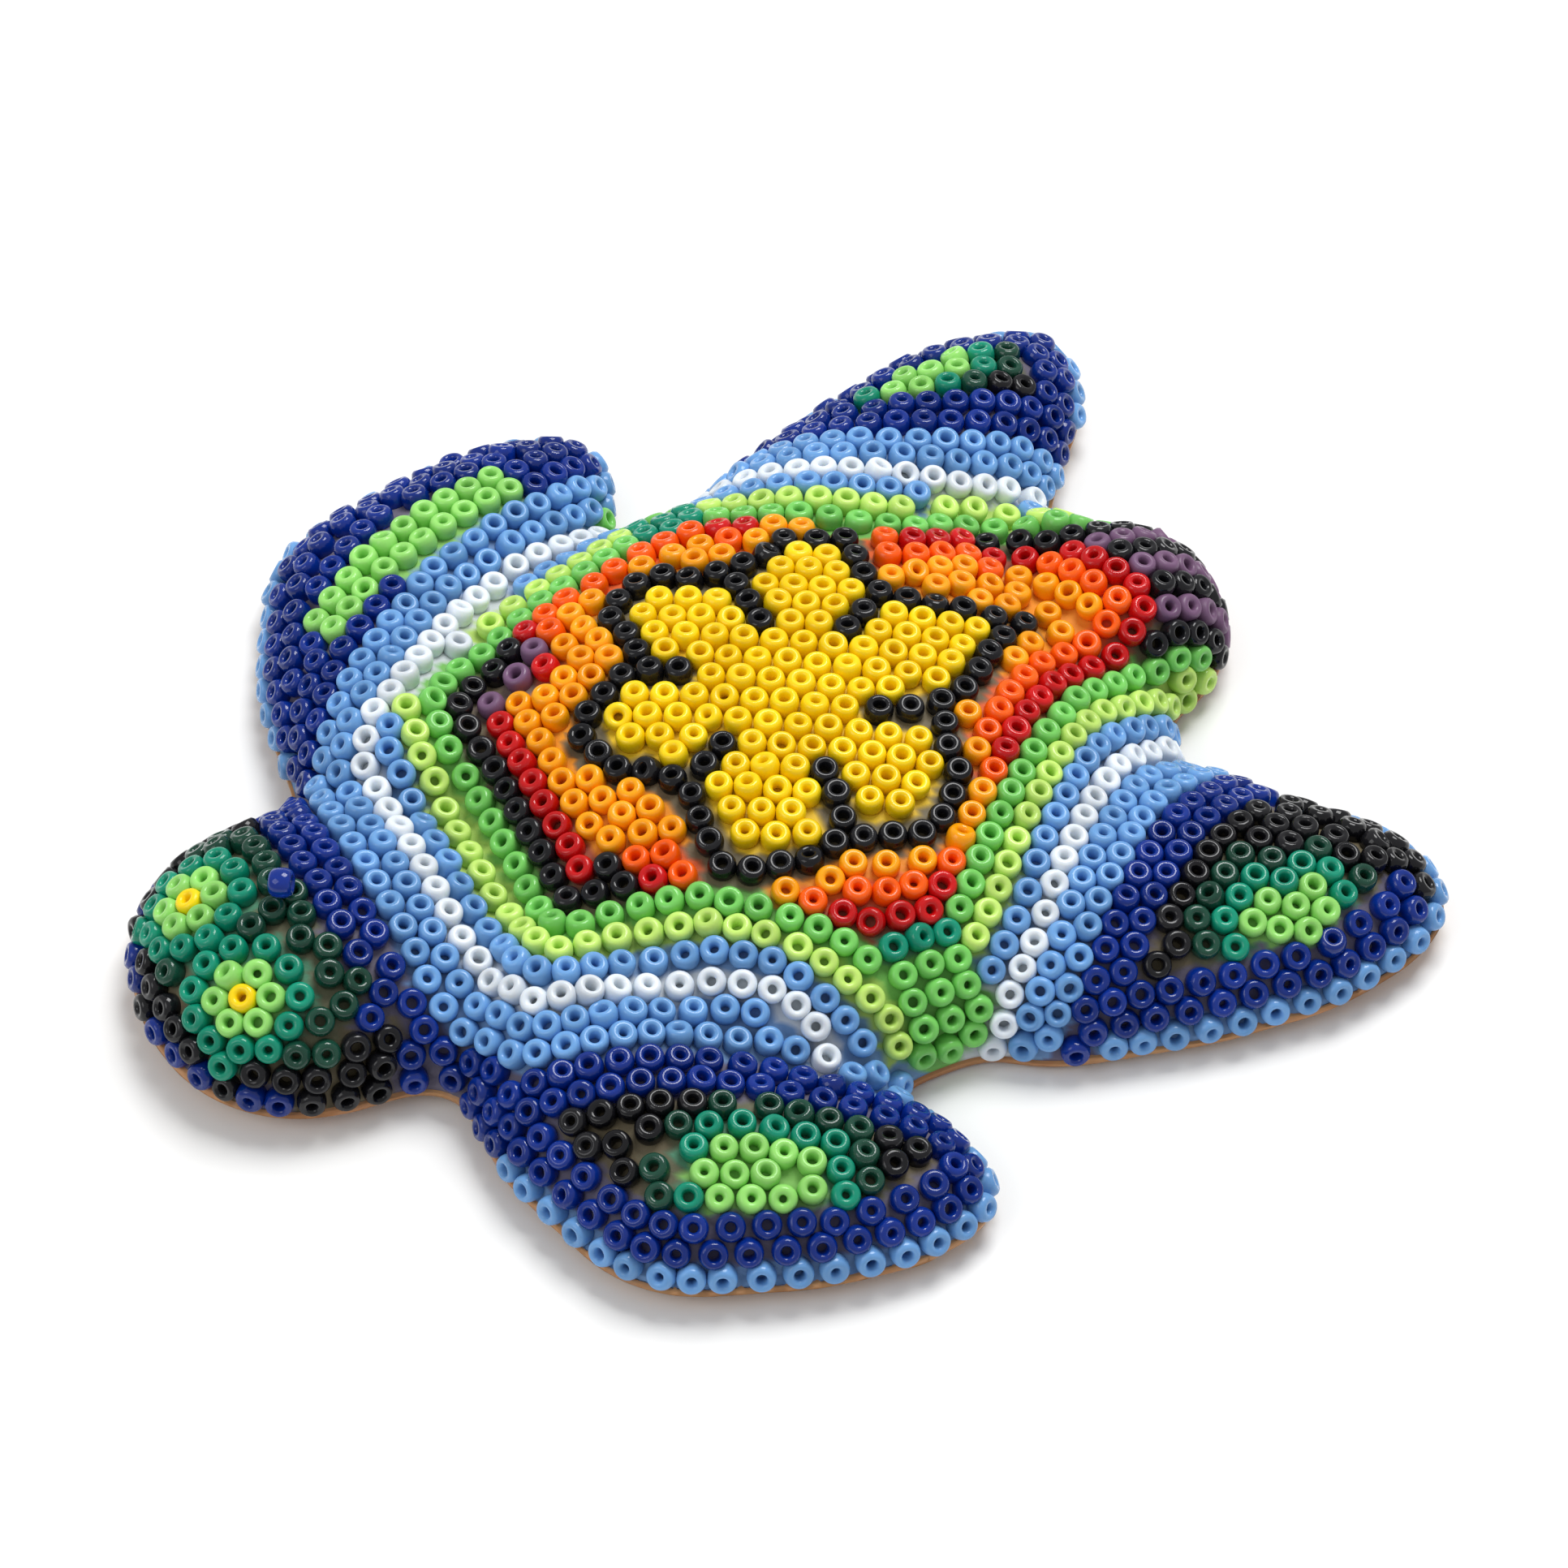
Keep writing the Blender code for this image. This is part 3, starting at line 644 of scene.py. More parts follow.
flower_low, flower_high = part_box("shell_flower_yellow")
loop_middle = [(min(values) + max(values)) / 2 for values in zip(*FLOWER_LOOP)]
FLOWER_AT = [(flower_low[i] + flower_high[i]) / 2 / MM - loop_middle[i] for i in (0, 1)]
FLOWER = [(x + FLOWER_AT[0], y + FLOWER_AT[1]) for x, y in FLOWER_LOOP]


def lay_flower():
    """The outline first, then straight close-packed rows of yellow inside it."""
    slits = [[(x + FLOWER_AT[0], y + FLOWER_AT[1]) for x, y in slit] for slit in FLOWER_SLITS]
    for line in [FLOWER + FLOWER[:1]] + slits:
        lay_plan(line, lambda point: "shell_flower_outline")
    for j in range(-FLOWER_REACH, FLOWER_REACH):
        y = FLOWER_AT[1] + j * FLOWER_ROWS
        for i in range(-FLOWER_REACH, FLOWER_REACH):
            x = FLOWER_AT[0] + (i + 0.5 * (j % 2)) * FLOWER_PITCH
            if polygon_inside((x, y), FLOWER):
                LAYOUT.add(drop(x, y), "shell_flower_yellow", YELLOW_CROWDING)


def lay_shell():
    """Rows that follow the pentagon inwards until they meet the flower."""

    def field(point):
        return None if polygon_inside((point.x, point.y), FLOWER) else shell_field(point)

    for row in range(SHELL_ROWS):
        line = inset_polygon(SHELL, (row + 0.5) * SHELL_ROW)
        lay_plan(line + line[:1], field, SHELL_CROWDING)


def band_lines(rows):
    """For each row, the plan polylines of the front and of the two rear sides."""
    right, middle, left = (ray_points(pairs, rows) for pairs in (FRONT_RIGHT, FRONT_MIDDLE, FRONT_LEFT))
    rear_left, rear_right = (ray_points(pairs, rows) for pairs in (REAR_LEFT, REAR_RIGHT))
    lines = []
    for row in range(rows):
        near = left if row <= WHITE_ROW else left[:-1]
        front = [ray[row] for ray in right + middle + near]
        if row > WHITE_ROW:
            front.append(CROTCH)
        lines.append(
            {
                "front": extended(front, FRONT_OVERRUN, FRONT_OVERRUN if row < WHITE_ROW else CROTCH_OVERRUN),
                "neck": extended([ray[row] for ray in middle], NECK_OVERRUN, NECK_OVERRUN),
                "fore_left": extended([ray[row] for ray in near], *FORE_OVERRUN),
                "fore_right": extended([ray[row] for ray in right[::-1]], FRONT_OVERRUN, FRONT_OVERRUN),
                "hind_left": extended([ray[row] for ray in rear_left], *HIND_OVERRUN),
                "hind_right": extended([ray[row] for ray in rear_right], *HIND_OVERRUN),
            }
        )
    return lines


LINES = band_lines(LAST_BAND + LIMB_ROWS)


def lay_bands():
    """The rows of one colour each round the shell, the neck and the flippers' roots, white first."""
    for row in [WHITE_ROW] + [row for row in range(LAST_BAND) if row != WHITE_ROW]:
        band, lines = BANDS[row], LINES[row]

        def field(point):
            return band_field(band, point)

        front = ("neck", "fore_left", "fore_right") if band == "root" else ("front",)
        for stretch in front + ("hind_left", "hind_right"):
            lay_plan(lines[stretch], field, BAND_CROWDING)


def foot_loops():
    """Closed lines round the skin at the height of the lowest row."""
    values = [lift(v.co) - RIM_LIFT for v in SKIN.vertices]
    ends = {}
    for polygon in SKIN.polygons:
        corners = list(polygon.vertices)
        crossings = []
        for a, b in zip(corners, corners[1:] + corners[:1]):
            if (values[a] > 0) != (values[b] > 0):
                crossings.append((min(a, b), max(a, b)))
        if len(crossings) == 2:
            for first, second in (crossings, crossings[::-1]):
                ends.setdefault(first, []).append(second)
    loops = []
    while ends:
        start = next(iter(ends))
        loop, here = [], start
        while here in ends:
            after = ends.pop(here)
            loop.append(here)
            here = after[0] if after[0] in ends else after[-1]
        points = []
        for a, b in loop:
            t = values[a] / (values[a] - values[b])
            points.append(SKIN.vertices[a].co.lerp(SKIN.vertices[b].co, t))
        if points[0].z > EQUATOR and len(points) > 50:
            loops.append(points + points[:1])
    return loops


def climbed(point, inward, distance):
    """A point reached by walking up the skin from its foot."""
    here, normal = snap(point)
    heading = inward - normal * inward.dot(normal)
    heading.normalize()
    for _ in range(int(round(distance / CLIMB_STEP))):
        here, normal = snap(here + heading * CLIMB_STEP)
        heading = heading - normal * heading.dot(normal)
        heading.normalize()
    return here


def rim_lines():
    """Lines round the body, the first at the foot and each next one a row higher."""
    loop = max(foot_loops(), key=len)
    spaced, travelled = [loop[0]], 0.0
    for a, b in zip(loop, loop[1:]):
        travelled += (b - a).length
        if travelled > RIM_SPACING:
            spaced.append(b)
            travelled = 0.0
    lines = [spaced]
    for row in range(1, RIM_ROWS):
        line = []
        for i, point in enumerate(spaced):
            along = spaced[(i + 3) % len(spaced)] - spaced[i - 3]
            normal = snap(point)[1]
            inward = normal.cross(along)
            if inward.z < 0:
                inward = -inward
            line.append(climbed(point, inward, row * ROW))
        lines.append(line)
    return lines


def beside_bands(point):
    """True where the bands run down to the foot between the flippers, so that no row follows the rim."""
    return abs(point.x) < SIDE_REACH and abs(point.y) < SIDE_HALF


def lay_rims():
    """The rows that follow the foot of the flippers, the tail and the head."""
    for row, line in enumerate(rim_lines()):

        def field(point):
            if beside_bands(point):
                return None
            if abs(point.x - PICTURE_X) < TAIL_HALF and point.y > TAIL_START:
                return tail_field(point, row)
            if point.y < HEAD_RIM_END and abs(point.x) < HEAD_RIM_HALF:
                return head_field(point, row)
            return limb_field(point, row)

        lay(line, field)


def tail_field(point, rim_row=None):
    """Purple and black stripes along the tail over a green foot on its left side."""
    if rim_row is not None and point.x > TAIL_MIDDLE:
        return ("tail_lime", "tail_green", None)[rim_row]
    stripe = int(math.floor((TAIL_LEFT - point.x) / TAIL_STRIPE))
    return "tail_purple" if stripe % 2 else "tail_black"


def lay_tail():
    """Stripes from the shell's edge to the tail's end, counted from the left side."""

    def field(point):
        return tail_field(point) if picture_depth(point.x, point.y) < -TAIL_GAP else None

    for stripe in range(TAIL_STRIPES):
        x = TAIL_LEFT - (stripe + 0.5) * TAIL_STRIPE
        lay_plan([(x, TAIL_START), (x, TAIL_END)], field, SHELL_CROWDING)


def head_field(point, rim_row=None):
    """The head's field by how far a point is from the eyes, from the foot and from the neck."""
    if rim_row == 0:
        return "head_rim_cobalt" if RANDOM.random() < RIM_COBALT_SHARE else "head_rim"
    if min((point - eye).length for eye in EYES) < TEAL_REACH:
        return "head_teal"
    height = lift(point)
    if height < BLACK_HEIGHT or (point.y > NAPE and height < NAPE_HEIGHT):
        return "head_rim"
    if point.y > NAPE_RIGHT and point.x < NAPE_RIGHT_SIDE:
        return "head_rim"
    return "head_dark_green"


EYES = []
for word in ("left", "right"):
    eye_low, eye_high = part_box(f"eye_{word}_bead")
    EYES.append(snap((eye_low + eye_high) / 2 / MM)[0])


def lay_eyes():
    """A yellow bead at each eye, a light green ring round it and a teal ring round that."""
    for eye, word in zip(EYES, ("left", "right")):
        LAYOUT.add(eye, f"eye_{word}_bead")
        normal = snap(eye)[1]
        across = normal.orthogonal().normalized()
        along = normal.cross(across)
        for radius, count, part in EYE_RINGS:
            for i in range(count):
                turn = 2 * math.pi * i / count + RING_TURN
                point = snap(eye + (across * math.cos(turn) + along * math.sin(turn)) * radius)[0]
                LAYOUT.add(point, f"eye_{word}_ring" if part == "ring" else "head_teal", RING_CROWDING)


def lay_stripe():
    """Two light green rows along the right fore flipper."""
    (ax, ay), (bx, by) = STRIPE[0], STRIPE[-1]
    length = math.hypot(bx - ax, by - ay)
    across = (-(by - ay) / length, (bx - ax) / length)
    for shift in (-0.5 * ROW, 0.5 * ROW):
        moved = [(x + across[0] * shift, y + across[1] * shift) for x, y in STRIPE]
        lay_plan(moved, lambda point: "fore_right_stripe")


def lay_limbs():
    """Rows that carry on past the root over each flipper."""
    for row in range(LIMB_ROWS):
        for limb in LIMBS:
            lay_plan(LINES[LAST_BAND + row][limb], limb_field)


def corner_field(point):
    """Teal against the picture's corner, then green down to the foot."""
    side = "left" if point.x > 0 else "right"
    if abs(point.x - PICTURE_X) < CORNER_REACH:
        return f"shell_corner_{side}"
    return "green_front" if point.y < 0 else f"green_rear_{side}"


def lay_corners():
    """The wedge where the front and rear rows part, on each side of the shell."""
    for side in (1, -1):
        for y in CORNER_ROWS:
            ends = [(PICTURE_X + side * reach, y) for reach in (CORNER_START, CORNER_END)]
            lay_plan(ends, corner_field, SHELL_CROWDING)


def fill_field(point):
    """The field of a bead that fills a gap: a zone's own, or its nearest neighbour's."""
    if picture_depth(point.x, point.y) > 0.1:
        if polygon_inside((point.x, point.y), FLOWER):
            return "shell_flower_yellow"
        return shell_field(point)
    if point.y < HEAD_FILL_END and abs(point.x) < HEAD_FILL_HALF:
        return head_field(point)
    return LAYOUT.fields[LAYOUT.nearest(point)[1]]


def fill_gaps(room):
    """Sets more beads where the skin is bare for a radius, widest gaps first."""
    lowest = RIM_LIFT - FILL_SLACK
    candidates = [v.co.copy() for v in SKIN.vertices if v.co.z > EQUATOR and lift(v.co) >= lowest]
    gaps = sorted(((LAYOUT.nearest(p)[0], i) for i, p in enumerate(candidates)), reverse=True)
    for gap, i in gaps:
        if gap >= room:
            LAYOUT.add(candidates[i], fill_field(candidates[i]), room / PITCH)


def relax(rounds):
    """Pushes beads that crowd each other apart over the skin, holding each near its own row."""
    points = np.array([p[:] for p in LAYOUT.points])
    home = points.copy()
    for _ in range(rounds):
        gap = points[:, None, :] - points[None, :, :]
        distance = np.sqrt((gap ** 2).sum(2)) + 1e-9
        np.fill_diagonal(distance, NO_NEIGHBOUR)
        overlap = np.clip(PITCH * RELAXED - distance, 0, None) / distance
        points += PUSH * (gap * overlap[:, :, None]).sum(1) + PULL * (home - points)
        for i, point in enumerate(points):
            here = snap(Vector(point))[0]
            low = ground(here.x, here.y) + RIM_LIFT - here.z
            if low > 0:
                here = snap(Vector((here.x, here.y, here.z + low)))[0]
            points[i] = here
    LAYOUT.points = [Vector(p) for p in points]
    LAYOUT.cells = {}
    for i, point in enumerate(LAYOUT.points):
        LAYOUT.cells.setdefault(LAYOUT.cell(point), []).append(i)


lay_flower()
lay_shell()
lay_corners()
lay_tail()
lay_stripe()
lay_bands()
lay_eyes()
lay_rims()
lay_limbs()
for room, rounds in PASSES:
    fill_gaps(room)
    relax(rounds)

# ---------------------------------------------------------------- bead meshes


def bead_template(hole):
    """One bead about the origin as a ring of rounded sections, points and quads."""
    half = (BEAD_RADIUS - hole) / 2
    middle = (BEAD_RADIUS + hole) / 2
    points = np.empty((BEAD_STEPS, BEAD_RING, 3))
    for j in range(BEAD_RING):
        turn = 2 * math.pi * (j + 0.5) / BEAD_RING
        out, up = math.cos(turn), math.sin(turn)
        out = math.copysign(abs(out) ** (OUTER_POWER if out > 0 else HOLE_POWER), out)
        up = math.copysign(abs(up) ** OUTER_POWER, up)
        radius, height = middle + half * out, BEAD_HEIGHT / 2 * up
        for i in range(BEAD_STEPS):
            angle = 2 * math.pi * i / BEAD_STEPS
            points[i, j] = radius * math.cos(angle), radius * math.sin(angle), height
    index = np.arange(BEAD_STEPS * BEAD_RING).reshape(BEAD_STEPS, BEAD_RING)
    after = np.roll(index, -1, 0)
    faces = np.stack([index, after, np.roll(after, -1, 1), np.roll(index, -1, 1)], 2)
    return points.reshape(-1, 3), faces.reshape(-1, 4)


TEMPLATES = [bead_template(hole) for hole in HOLES]


def bead_matrix(axis, spin):
    """Rotation that stands a bead's axis along a direction."""
    turn = Vector((0, 0, 1)).rotation_difference(axis).to_matrix()
    return np.array(turn @ Matrix.Rotation(spin, 3, "Z"))


def tilted(normal, degrees):
    """A normal leaning a few degrees in a random direction."""
    across = normal.orthogonal().normalized()
    along = normal.cross(across)
    turn = RANDOM.uniform(0, 2 * math.pi)
    lean = math.radians(degrees)
    return normal * math.cos(lean) + (across * math.cos(turn) + along * math.sin(turn)) * math.sin(lean)


def bead_points(centre, axis):
    """One bead of random size and hole, standing on its axis: points and quads."""
    points, faces = RANDOM.choice(TEMPLATES)
    size = RANDOM.gauss(1.0, SIZE_SPREAD)
    scale = np.array([size, size, size * RANDOM.uniform(*HEIGHT_FACTORS)])
    turn = bead_matrix(axis, RANDOM.uniform(0, math.pi))
    return (points * scale) @ turn.T + np.array(centre), faces


def joined_beads(name, beads):
    """One mesh holding every bead of a field, with a random colour kept per bead as its tone."""
    points, faces, tones = [], [], []
    count = 0
    for centre, axis in beads:
        own, quads = bead_points(centre, axis)
        points.append(own)
        faces.append(quads + count)
        tone = [RANDOM.random() for _ in range(3)] + [1.0]
        tones.append(np.tile(tone, (len(own), 1)))
        count += len(own)
    points, faces, tones = (np.concatenate(parts) for parts in (points, faces, tones))
    mesh = bpy.data.meshes.new(name)
    mesh.vertices.add(len(points))
    mesh.vertices.foreach_set("co", (points * MM).ravel())
    mesh.loops.add(faces.size)
    mesh.loops.foreach_set("vertex_index", faces.ravel())
    mesh.polygons.add(len(faces))
    mesh.polygons.foreach_set("loop_start", np.arange(0, faces.size, 4))
    mesh.update(calc_edges=True)
    mesh.validate()
    mesh.polygons.foreach_set("use_smooth", np.ones(len(mesh.polygons), bool))
    attribute = mesh.attributes.new("tone", "FLOAT_COLOR", "POINT")
    attribute.data.foreach_set("color", tones.ravel())
    return mesh


# ---------------------------------------------------------------- materials

# Linear colours, roughness, share of light let through, milkiness.
GLASS = {
    "yellow": ((1.0, 0.66, 0.001), 0.2, 0.0, 0.12),
    "amber": ((1.0, 0.36, 0.001), 0.2, 0.0, 0.12),
    "orange": ((1.0, 0.115, 0.001), 0.18, 0.0, 0.12),
    "red": ((0.66, 0.004, 0.006), 0.13, 0.15, 0.1),
    "black": ((0.006, 0.006, 0.008), 0.10, 0.0, 0.0),
    "green": ((0.18, 0.58, 0.115), 0.18, 0.0, 0.15),
    "lime": ((0.54, 0.80, 0.17), 0.18, 0.0, 0.15),
    "light_blue": ((0.15, 0.35, 0.68), 0.15, 0.0, 0.25),
    "white": ((0.74, 0.80, 0.86), 0.15, 0.0, 0.3),
    "cobalt": ((0.002, 0.042, 0.42), 0.10, 0.45, 0.0),
    "light_green": ((0.30, 0.70, 0.16), 0.17, 0.0, 0.15),
    "teal": ((0.004, 0.33, 0.20), 0.14, 0.15, 0.1),
    "dark_green": ((0.012, 0.10, 0.06), 0.10, 0.45, 0.0),
    "purple": ((0.17, 0.085, 0.17), 0.38, 0.0, 0.0),
}
# Fields that have a node in the frame take its slot; the others are single beads and short rows beside them.
SLOTS = {part["node"]: part["material_slot"] for part in frame["record"]["subparts"]}
SLOTS.update(
    shell_purple="purple",
    shell_black_rear="black",
    tail_lime="lime",
    tail_green="green",
    head_rim_cobalt="cobalt",
    fore_left_dark="dark_green",
    hind_left_dark="dark_green",
    hind_right_dark="dark_green",
)


class Nodes:
    """A short way to write a material's node tree."""

    def __init__(self, name):
        self.material = bpy.data.materials.new(name)
        self.material.use_nodes = True
        self.tree = self.material.node_tree
        self.shader = self.tree.nodes["Principled BSDF"]

    def add(self, kind, inputs=(), **settings):
        """A new node with its inputs joined or set."""
        node = self.tree.nodes.new(kind)
        for key, value in settings.items():
            setattr(node, key, value)
        for key, value in dict(inputs).items():
            self.put(node.inputs[key], value)
        return node

    def put(self, socket, value):
        if isinstance(value, bpy.types.NodeSocket):
            self.tree.links.new(value, socket)
        else:
            socket.default_value = value

    def set(self, **inputs):
        for key, value in inputs.items():
            self.put(self.shader.inputs[key.replace("_", " ")], value)

    def noise(self, scale, detail=2.0, vector=None):
        inputs = {"Scale": scale, "Detail": detail}
        if vector is not None:
            inputs["Vector"] = vector
        return self.add("ShaderNodeTexNoise", inputs).outputs["Fac"]

    def remap(self, value, low, high):
        inputs = {"Value": value, "To Min": low, "To Max": high}
        return self.add("ShaderNodeMapRange", inputs).outputs["Result"]

    def mix(self, factor, first, second, blend="MIX"):
        node = self.add("ShaderNodeMix", data_type="RGBA", blend_type=blend)
        self.put(node.inputs["Factor"], factor)
        self.put(node.inputs["A"], first)
        self.put(node.inputs["B"], second)
        return node.outputs["Result"]

    def bump(self, height, strength, distance):
        inputs = {"Height": height, "Strength": strength, "Distance": distance}
        return self.add("ShaderNodeBump", inputs).outputs["Normal"]


def glass(slot):
    """Glass of one colour: a tone for each bead, faint streaks and an uneven fire-polished surface."""
    colour, roughness, clear, milky = GLASS[slot]
    nodes = Nodes(f"glass_{slot}")
    tone = nodes.add("ShaderNodeAttribute", attribute_name="tone")
    split = nodes.add("ShaderNodeSeparateColor", {"Color": tone.outputs["Color"]})
    place = nodes.add("ShaderNodeTexCoord").outputs["Object"]
    dark = tuple(c * (0.86 - 0.3 * clear) for c in colour) + (1.0,)
    light = tuple(min(1.0, c * 1.08 + 0.004) for c in colour) + (1.0,)
    base = nodes.mix(split.outputs["Red"], dark, light)
    streaks = nodes.remap(nodes.noise(900.0, 3.0, place), 0.9, 1.08)
    grey = nodes.add("ShaderNodeCombineColor", {channel: streaks for channel in ("Red", "Green", "Blue")})
    nodes.set(Base_Color=nodes.mix(1.0, base, grey.outputs["Color"], "MULTIPLY"))
    rough = nodes.remap(split.outputs["Green"], roughness * 0.7, roughness * 1.5)
    nodes.set(Roughness=rough, IOR=1.5, Specular_IOR_Level=0.34, Coat_Weight=0.04, Coat_Roughness=0.05)
    nodes.set(Normal=nodes.bump(nodes.noise(1600.0, 2.0, place), 0.25, 0.00006))
    if clear:
        nodes.set(Transmission_Weight=clear)
    if milky:
        nodes.set(Subsurface_Weight=milky, Subsurface_Scale=0.0006)
        nodes.set(Subsurface_Radius=(1.0, 0.8, 0.6))
    return nodes.material


def beeswax():
    """Beeswax with resin: olive grey, dull and finely pitted, with painted light from the glass pressed into
    it mixed into its colour.
    """
    nodes = Nodes("beeswax")
    place = nodes.add("ShaderNodeTexCoord").outputs["Object"]
    patches = nodes.remap(nodes.noise(420.0, 4.0, place), 0.0, 1.0)
    base = nodes.mix(patches, (0.13, 0.105, 0.06, 1.0), (0.28, 0.235, 0.15, 1.0))
    # Painted light: the glow thrown by the nearby glass, mixed into the wax's colour by its share.
    painted_glow_node = nodes.add("ShaderNodeAttribute", attribute_name="painted_glass_glow")
    base = nodes.mix(painted_glow_node.outputs["Alpha"], base, painted_glow_node.outputs["Color"])
    nodes.set(Base_Color=base, Roughness=nodes.remap(nodes.noise(1500.0, 3.0, place), 0.35, 0.6))
    nodes.set(Specular_IOR_Level=0.15)
    nodes.set(Normal=nodes.bump(nodes.noise(1100.0, 5.0, place), 0.6, 0.0002))
    return nodes.material


def carved_wood():
    """Pale wood with grain along the body, darker patches and a thin amber varnish."""
    nodes = Nodes("carved_wood")
    place = nodes.add("ShaderNodeTexCoord").outputs["Object"]
    stretched = nodes.add("ShaderNodeMapping", {"Vector": place, "Scale": (1.0, 0.12, 1.0)})
    grain = nodes.noise(1500.0, 6.0, stretched.outputs["Vector"])
    stain = nodes.remap(nodes.noise(60.0, 2.0, place), 0.0, 1.0)
    base = nodes.mix(grain, (0.30, 0.13, 0.035, 1.0), (0.74, 0.47, 0.20, 1.0))
    base = nodes.mix(stain, base, (0.42, 0.13, 0.03, 1.0))
    nodes.set(Base_Color=base, Roughness=nodes.remap(grain, 0.35, 0.6), Coat_Weight=0.2)
    nodes.set(Normal=nodes.bump(grain, 0.5, 0.00015))
    return nodes.material


# ---------------------------------------------------------------- pieces


def show(name, mesh, material):
    """Places a piece of one material on the body."""
    piece = bpy.data.objects.new(name, mesh)
    bpy.context.scene.collection.objects.link(piece)
    mesh.materials.clear()
    mesh.materials.append(material)
    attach(piece, "root")
    return piece


def make_beads():
    """One piece for each field, standing for the frame's node of that name where there is one."""
    fields = {}
    for point, field in zip(LAYOUT.points, LAYOUT.fields):
        here, normal = snap(point)
        lean = abs(RANDOM.gauss(0, LEAN))
        lean += RANDOM.uniform(*LOOSE_LEAN) if RANDOM.random() < LOOSE_SHARE else 0
        depth = BEAD_HEIGHT / 2 + RANDOM.gauss(SINK, SINK_SPREAD)
        fields.setdefault(field, []).append((here - normal * depth, tilted(normal, lean)))
    low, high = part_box("stray_bead")
    fields["stray_bead"] = [((low + high) / 2 / MM, Vector(STRAY_AXIS).normalized())]
    materials = {slot: glass(slot) for slot in GLASS}
    for field, beads in sorted(fields.items()):
        mesh = joined_beads(f"{field}_mesh", beads)
        piece = show(f"{field}_beads", mesh, materials[SLOTS[field]])
        if field in frame["nodes"]:
            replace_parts(piece, field)


def skin_at(inset_of, lowest):
    """A copy of the skin moved inwards by an inset that changes with height, cut off flat at the bottom."""
    mesh = SKIN.copy()
    normals = [v.normal.copy() for v in SKIN.vertices]
    for vertex, normal in zip(mesh.vertices, normals):
        point = vertex.co - normal * inset_of(lift(vertex.co))
        point.z = max(point.z, ground(point.x, point.y) + lowest)
        vertex.co = point * MM
    for polygon in mesh.polygons:
        polygon.use_smooth = True
    return mesh


def make_wax():
    """The wax coat: most of a bead's height down, fuller at the foot, with painted light in the colour of the
    nearest glass.
    """
    mesh = skin_at(lambda height: WAX_DEPTH if height > WAX_TOE_HEIGHT else WAX_TOE, WAX_LOWEST)
    # Painted light: each wax point takes the colour of its nearest bead's glass, with a larger share for
    # brighter glass, as the glow the glass throws on the wax; next to dark glass this paints shade.
    painted_glass_glow = np.empty((len(SKIN.vertices), 4))
    for i, vertex in enumerate(SKIN.vertices):
        reach, bead = LAYOUT.nearest(vertex.co)
        red, green, blue = GLASS[SLOTS[LAYOUT.fields[bead]]][0]
        bright = 0.2 * red + 0.7 * green + 0.1 * blue
        painted_glass_glow[i] = red, green, blue, min(WAX_PAINTED_GLOW, 0.15 + 1.6 * bright) if reach < PAINTED_GLOW_REACH else 0.0
    mesh.attributes.new("painted_glass_glow", "FLOAT_COLOR", "POINT").data.foreach_set("color", painted_glass_glow.ravel())
    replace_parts(show("wax_coat_soft", mesh, beeswax()), "wax_coat")


def make_wood():
    """The carved core under the wax, with its sole showing as a thin lip under the beads."""
    mesh = skin_at(lambda height: WOOD_LIP if height < WOOD_LIP_HEIGHT else WOOD_DEPTH, 0.0)
    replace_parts(show("wood_core_carved", mesh, carved_wood()), "wood_core")


make_beads()
make_wax()
make_wood()

# ---------------------------------------------------------------- stage

# In metres and degrees. A lamp: name, turn from the camera's, rise, distance, size, power.
CAMERA_TURN, CAMERA_RISE = 64.8, 51.4
CAMERA_ANGLE = 15.0
CAMERA_DISTANCE = 0.4193
LOOK_AT = Vector((-0.0025, 0.0, 0.0))
FLOOR_HALF = 3.0
LAMPS = (("key", 155, 62, 0.8, 0.4, 5.0), ("fill", -60, 45, 1.0, 0.5, 1.6))
WORLD_LIGHT = 0.5


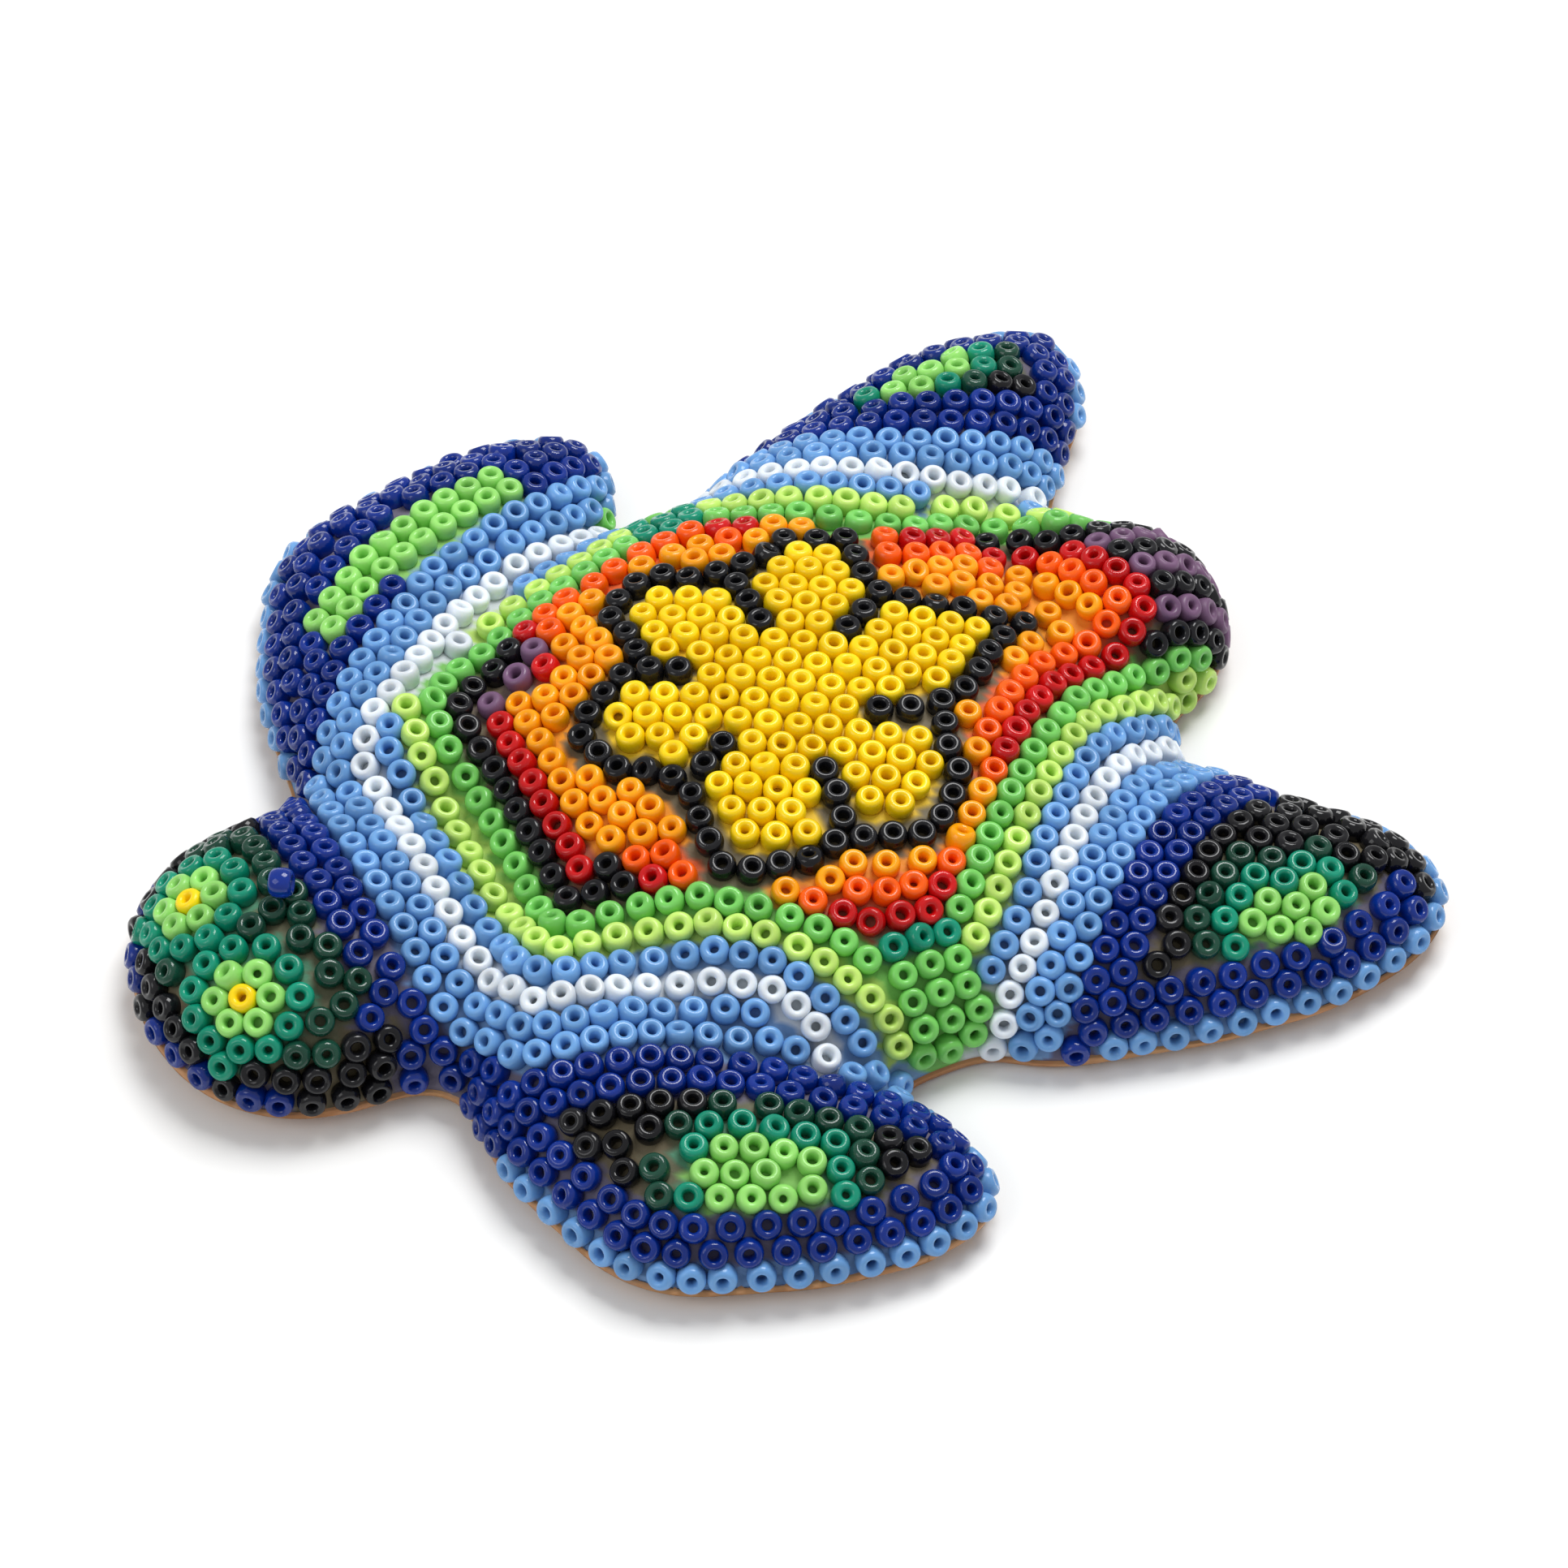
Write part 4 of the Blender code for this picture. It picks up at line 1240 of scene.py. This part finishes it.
def direction(turn, rise):
    """Unit vector from the turtle out to a place at a turn round it and a rise over the floor."""
    a, e = math.radians(turn), math.radians(rise)
    return Vector((math.sin(a) * math.cos(e), -math.cos(a) * math.cos(e), math.sin(e)))


def make_floor():
    """A plain sheet of pale paper."""
    paper = Nodes("floor_paper")
    paper.set(Base_Color=(0.93, 0.93, 0.92, 1.0), Roughness=0.9)
    corners = [(x * FLOOR_HALF, y * FLOOR_HALF, 0) for x, y in ((-1, -1), (1, -1), (1, 1), (-1, 1))]
    floor = bpy.data.objects.new("floor", new_mesh("floor", corners, [(0, 1, 2, 3)]))
    floor.data.materials.append(paper.material)
    bpy.context.scene.collection.objects.link(floor)


def make_lamp(name, turn, rise, distance, size, power):
    """A square softbox that faces the turtle."""
    light = bpy.data.lights.new(name, "AREA")
    light.shape = "SQUARE"
    light.size = size
    light.energy = power
    lamp = bpy.data.objects.new(name, light)
    bpy.context.scene.collection.objects.link(lamp)
    away = direction(CAMERA_TURN + turn, rise)
    lamp.location = LOOK_AT + away * distance
    lamp.rotation_mode = "QUATERNION"
    lamp.rotation_quaternion = away.to_track_quat("Z", "Y")


def make_camera():
    """A long lens that looks down past the turtle's left shoulder."""
    data = bpy.data.cameras.new("camera")
    data.angle = math.radians(CAMERA_ANGLE)
    data.clip_start = 0.01
    camera = bpy.data.objects.new("camera", data)
    bpy.context.scene.collection.objects.link(camera)
    away = direction(CAMERA_TURN, CAMERA_RISE)
    camera.location = LOOK_AT + away * CAMERA_DISTANCE
    camera.rotation_mode = "QUATERNION"
    camera.rotation_quaternion = away.to_track_quat("Z", "Y")
    bpy.context.scene.camera = camera


def make_world():
    """Even white light from all round."""
    world = bpy.data.worlds.new("studio")
    world.use_nodes = True
    background = world.node_tree.nodes["Background"]
    background.inputs["Color"].default_value = (1.0, 1.0, 1.0, 1.0)
    background.inputs["Strength"].default_value = WORLD_LIGHT
    bpy.context.scene.world = world


make_floor()
make_world()
for lamp in LAMPS:
    make_lamp(*lamp)
make_camera()
bpy.context.scene.view_settings.view_transform = "Standard"
